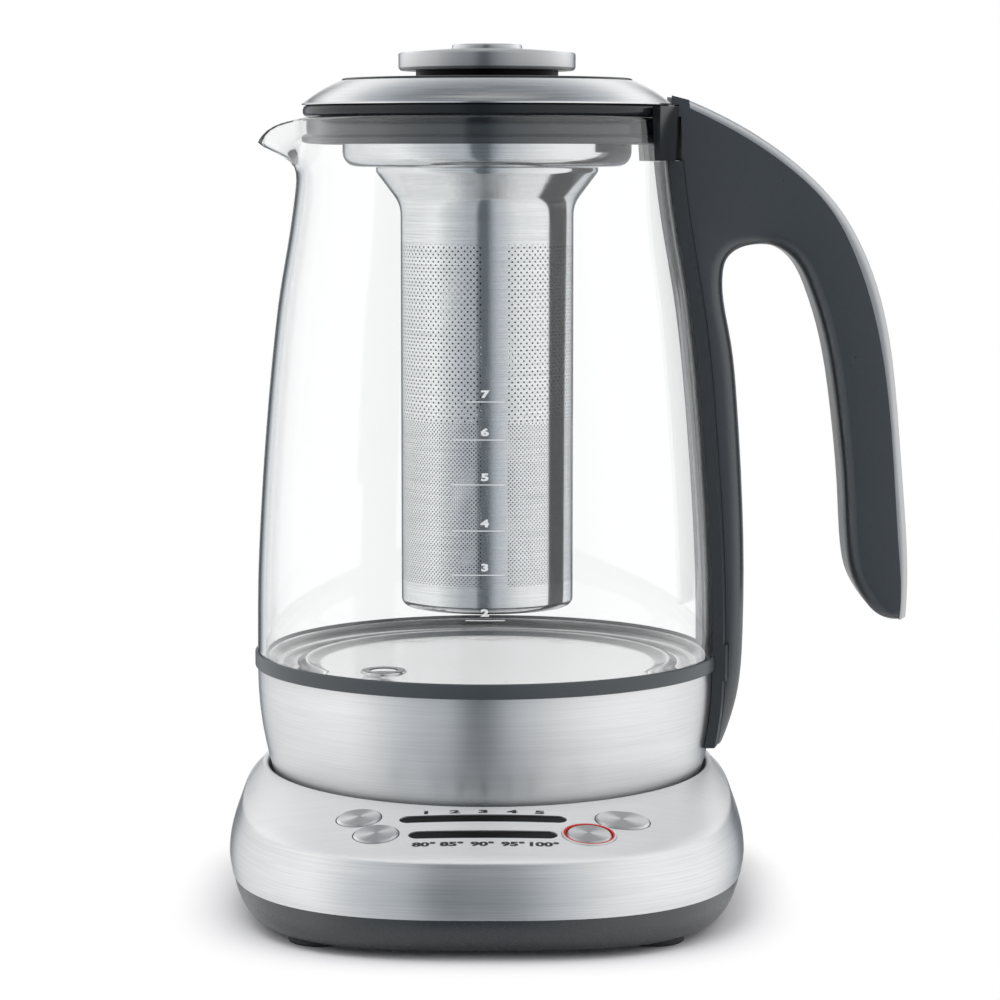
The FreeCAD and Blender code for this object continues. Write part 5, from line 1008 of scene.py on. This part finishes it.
# %% Plan of the cover
RIM_Z = 0.037
RIM_RADIUS = 0.06707
HALF_X = RIM_RADIUS + 0.0042
FRONT_REACH = RIM_RADIUS + 0.035
BACK_REACH = RIM_RADIUS + 0.0045
CORNER_POWER = 2.7


def plan_point(angle, growth):
    """Point of the rounded square at an angle about its middle."""
    half_y = (FRONT_REACH + BACK_REACH) / 2 + growth
    cosine, sine = math.cos(angle), math.sin(angle)
    wide = abs(cosine / (HALF_X + growth)) ** CORNER_POWER
    deep = abs(sine / half_y) ** CORNER_POWER
    reach = (wide + deep) ** (-1 / CORNER_POWER)
    return Vector((reach * cosine, (BACK_REACH - FRONT_REACH) / 2 + reach * sine, 0))


print("front of the shoulder:", plan_point(-math.pi / 2, 0))

# %% [markdown]
# A section climbs from the seam up the belly, bends over the shoulder, crosses straight to the rim, and
# rolls over a small lip down into the recess of the jug.


# %% Sections of the cover
SEAM_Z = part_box("base_cover")[0].z
RIM_LEAN = 0.026
RECESS_RADIUS = RIM_RADIUS - 0.0017
RECESS_FOOT = RIM_Z - 0.0075
CREASE_Z = RIM_Z - 0.0044
CREASE_LEAN = 0.044
FRONT_LENGTH = 0.045    # the shoulder widens from this far before the axis to twice as far
BELLY = ((0.0, 0.003), (0.28, 0.0037), (0.62, 0.00278), (1.0, 0.0))
LIP = 0.0013
SIDE_LEVELS, BEND_LEVELS, TOP_LEVELS, LIP_LEVELS = 10, 10, 8, 6


def cover_section(angle):
    crease = plan_point(angle, 0)
    crease.z = CREASE_Z + CREASE_LEAN * crease.y
    height = crease.z - SEAM_Z
    front = min(1.0, max(0.0, (-FRONT_LENGTH - crease.y) / FRONT_LENGTH))
    bend_foot = 1 - (0.003 - 0.0012 * front) / height
    section = []
    for share in spread(0, bend_foot, SIDE_LEVELS):
        point = plan_point(angle, smooth_through(BELLY, share))
        section.append(point + Vector((0, 0, SEAM_Z + share * height)))
    side = section[-1]
    outward = Vector((math.cos(angle), math.sin(angle), 0))
    rim = outward * RIM_RADIUS
    rim.z = RIM_Z + RIM_LEAN * rim.y
    shoulder = crease + (rim - crease).normalized() * (0.002 + 0.003 * front)
    corner = plan_point(angle, 0.0003 + 0.0005 * front)
    corner.z = crease.z - 0.0001 * front
    for t in spread(0, 1, BEND_LEVELS)[1:]:
        section.append(side * (1 - t) ** 2 + corner * 2 * t * (1 - t) + shoulder * t ** 2)
    section += [shoulder.lerp(rim, share) for share in spread(0, 1, TOP_LEVELS)[1:]]
    middle = outward * (RECESS_RADIUS + LIP) + Vector((0, 0, rim.z - LIP))
    for turn in spread(0, math.pi / 2, LIP_LEVELS):
        section.append(middle + Vector((0, 0, LIP)) * math.cos(turn) - outward * LIP * math.sin(turn))
    section.append(outward * RECESS_RADIUS + Vector((0, 0, RECESS_FOOT)))
    return section


ROWS = len(cover_section(0.0)) - 1
print("rows of the cover:", ROWS)

# %% [markdown]
# A grid is the simplest start: rolled up, its columns become the sections and its rows the levels. The
# seam is welded, and a modifier gives the sheet its thickness.
# %% Cover
COLUMNS = 240
COVER_SHEET = 0.0012
bpy.ops.mesh.primitive_grid_add(x_subdivisions=COLUMNS, y_subdivisions=ROWS, size=1.0)
cover = bpy.context.object
cover.name = "cover_finished"
cover.data.name = "cover_finished"
sections = [cover_section(angle) for angle in spread(0, 2 * math.pi, COLUMNS)[:-1]]
for vertex in cover.data.vertices:
    column = round((vertex.co.x + 0.5) * COLUMNS) % COLUMNS
    row = round((vertex.co.y + 0.5) * ROWS)
    vertex.co = sections[column][row]
weld(outward=True)
sheet = cover.modifiers.new("sheet", "SOLIDIFY")
sheet.thickness = COVER_SHEET
sheet.offset = -1.0
bpy.ops.object.modifier_apply(modifier="sheet")
print("cover faces", len(cover.data.polygons))

# %% [markdown]
# The buttons and the light bars come up through punched openings. Here cylinders cut them that stand
# square on the leaning panel. For a long opening, the two halves of the cylinder are moved apart.


# %% Openings of the panel
OPENINGS = (            # node, width, and how far the halves are apart
    ("time_button", 0.0131, 0.0), ("temp_button", 0.0131, 0.0), ("timer_button", 0.0131, 0.0027),
    ("start_button", 0.0153, 0.0), ("time_bar", 0.005, 0.0415), ("temp_bar", 0.0052, 0.0358),
)


def face_of(node):
    """Middle and normal of the flat top of a button or a bar."""
    mesh = nodes[node].data
    upward = [face for face in mesh.polygons if face.normal.z > 0.9]
    normal = max(upward, key=lambda face: face.area).normal.copy()
    corners = [mesh.vertices[index].co for face in upward for index in face.vertices]
    middle = [(min(values) + max(values)) / 2 for values in zip(*corners)]
    return Vector(middle), normal


for node, width, apart in OPENINGS:
    middle, normal = face_of(node)
    turn = Vector((0, 0, 1)).rotation_difference(normal).to_matrix()
    bpy.ops.mesh.primitive_cylinder_add(vertices=64, radius=width / 2, depth=0.012)
    cutter = bpy.context.object
    for vertex in cutter.data.vertices:
        side = 0 if abs(vertex.co.x) < 0.00001 else math.copysign(apart / 2, vertex.co.x)
        vertex.co = turn @ (vertex.co + Vector((side, 0, 0))) + middle
    choose(cover)
    opening = cover.modifiers.new("opening", "BOOLEAN")
    opening.operation = "DIFFERENCE"
    opening.solver = "EXACT"
    opening.object = cutter
    bpy.ops.object.modifier_apply(modifier="opening")
    bpy.data.objects.remove(cutter)
finish_piece(cover, COVER_STEEL, "root", "base_cover", 30.0)

# %% [markdown]
# ## Buttons
#
# Each button is a turned cap, which keeps its CAD shape here and is only smoothed. The rings of the
# lathe lie about its own middle, so every button gets its own copy of the finish.
# %% Buttons
for button in ("time_button", "temp_button", "timer_button", "start_button"):
    middle = (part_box(button)[0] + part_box(button)[1]) / 2
    softened(button, spun_steel("spun steel of " + button, middle), button)

# %% [markdown]
# ## Finishes of the other nodes
#
# The other pieces, most of them inside, stay as they are and only take a finish.
# %% Finishes of the CAD nodes
CARRIED = (
    (RUBBER, "base_feet"),
    (SLATE, "cradle"),
    (SCREW_STEEL, "base_screws", "board_screws", "cover_screws", "knob_screw"),
    (GLOSS_DARK, "socket_housing", "tact_switches", "beeper", "mains_gland"),
    (BRASS, "socket_ring", "socket_pin", "plug_contacts"),
    (GREY, "panel_carrier", "relay", "supply_block", "jug_plug", "under_cover"),
    (BOARD, "control_board", "power_board"),
    (PIPE, "time_lamps", "temp_lamps"),
    (WINDOW, "time_bar", "temp_bar"),
    (LEAD, "base_wiring", "jug_leads"),
    (ALUMINIUM, "capacitor", "heat_plate", "thermal_cutout"),
    (SHEATH_STEEL, "heating_element", "heater_legs"),
    (SILICONE, "glass_gasket", "sensor_seal"),
)
for material, *names in CARRIED:
    for name in names:
        nodes[name].data.materials.clear()
        nodes[name].data.materials.append(material)
print("finishes for CAD nodes:", len(CARRIED))

# %% [markdown]
# ## Numbers
#
# The glass carries cup marks, and the panel numbers for the minutes and the degrees. A picture of them
# would blur close up, so each is text, turned into a flat mesh and laid on its surface point by point.


# %% Print
PRINT_LIFT = 0.00005
FIGURE_SHARE = 0.7      # height of a figure in a text of size 1
BOLDER = 0.07
BAR_PARTS = 14          # lets a bar bend round the glass


def number_mesh(text, height, stretch, place):
    """Flat mesh of a text with its lower middle at a place (across, up), upright in XZ."""
    bpy.ops.object.text_add(location=(0, 0, 0))
    words = bpy.context.object
    words.data.body = text
    words.data.align_x = "CENTER"
    words.data.size = height / FIGURE_SHARE
    words.data.offset = height * BOLDER
    words.data.resolution_u = 4
    bpy.ops.object.convert(target="MESH")
    words = bpy.context.object
    for vertex in words.data.vertices:
        vertex.co = Vector((place[0] + vertex.co.x * stretch, 0, place[1] + vertex.co.y))
    return words


def line_mesh(left, right, low, high):
    bpy.ops.mesh.primitive_grid_add(x_subdivisions=BAR_PARTS, y_subdivisions=1, size=1.0)
    bar = bpy.context.object
    for vertex in bar.data.vertices:
        across, up = vertex.co.x + 0.5, vertex.co.y + 0.5
        vertex.co = Vector((left + across * (right - left), 0, low + up * (high - low)))
    return bar


def join_print(name, pieces, material, body):
    choose(*pieces)
    bpy.ops.object.join()
    joined = bpy.context.object
    joined.name = name
    joined.data.name = name
    finish_piece(joined, material, body, angle=None)


print("print lies", PRINT_LIFT, "over its surface")

# %% [markdown]
# Each cup mark is a figure over a fine line. The radius of the glass at a point's height says how far
# forward the point goes.
# %% Cup marks
CUP_LINES = ((7, 0.1487), (6, 0.1382), (5, 0.1258), (4, 0.11305), (3, 0.1008), (2, 0.08815))
HALF_LINE = 0.00012
marks = []
for cups, height in CUP_LINES:
    left = -0.0058 if cups in (2, 7) else -0.0095
    marks.append(line_mesh(left, 0.0052, height - HALF_LINE, height + HALF_LINE))
    marks.append(number_mesh(str(cups), 0.0019, 1.6, (-0.0004, height + 0.0012)))
for mark in marks:
    for vertex in mark.data.vertices:
        vertex.co.y = -(math.sqrt(glass_radius(vertex.co.z) ** 2 - vertex.co.x ** 2) + PRINT_LIFT)
join_print("cup_marks", marks, WHITE_INK, "jug")

# %% [markdown]
# The numbers of the panel stand over the upper bar and under the lower one. A ray from above finds the
# panel under each point, so the print follows the cover however it leans.
# %% Numbers of the panel
MINUTES = (("1", -0.0168), ("2", -0.0088), ("3", -0.00084), ("4", 0.0072), ("5", 0.0149))
DEGREES = (("80°", -0.0169), ("85°", -0.0093), ("90°", -0.00095), ("95°", 0.0074), ("100°", 0.0156))
MINUTES_Y, DEGREES_Y = -0.0709, -0.093
figures = [number_mesh(text, 0.002, 1.95, (x, MINUTES_Y)) for text, x in MINUTES]
figures += [number_mesh(text, 0.0025, 1.3, (x, DEGREES_Y)) for text, x in DEGREES]
bpy.context.view_layer.update()
for figure in figures:
    for vertex in figure.data.vertices:
        above = Vector((vertex.co.x, vertex.co.z, 0.1))
        point = cover.ray_cast(above, Vector((0, 0, -1)))[1]
        vertex.co = point + Vector((0, 0, PRINT_LIFT))
join_print("panel_numbers", figures, INK, "root")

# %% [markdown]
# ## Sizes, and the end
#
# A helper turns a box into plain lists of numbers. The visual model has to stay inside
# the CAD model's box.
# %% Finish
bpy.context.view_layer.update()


def plain(box):
    return [[float(value) for value in corner] for corner in box]
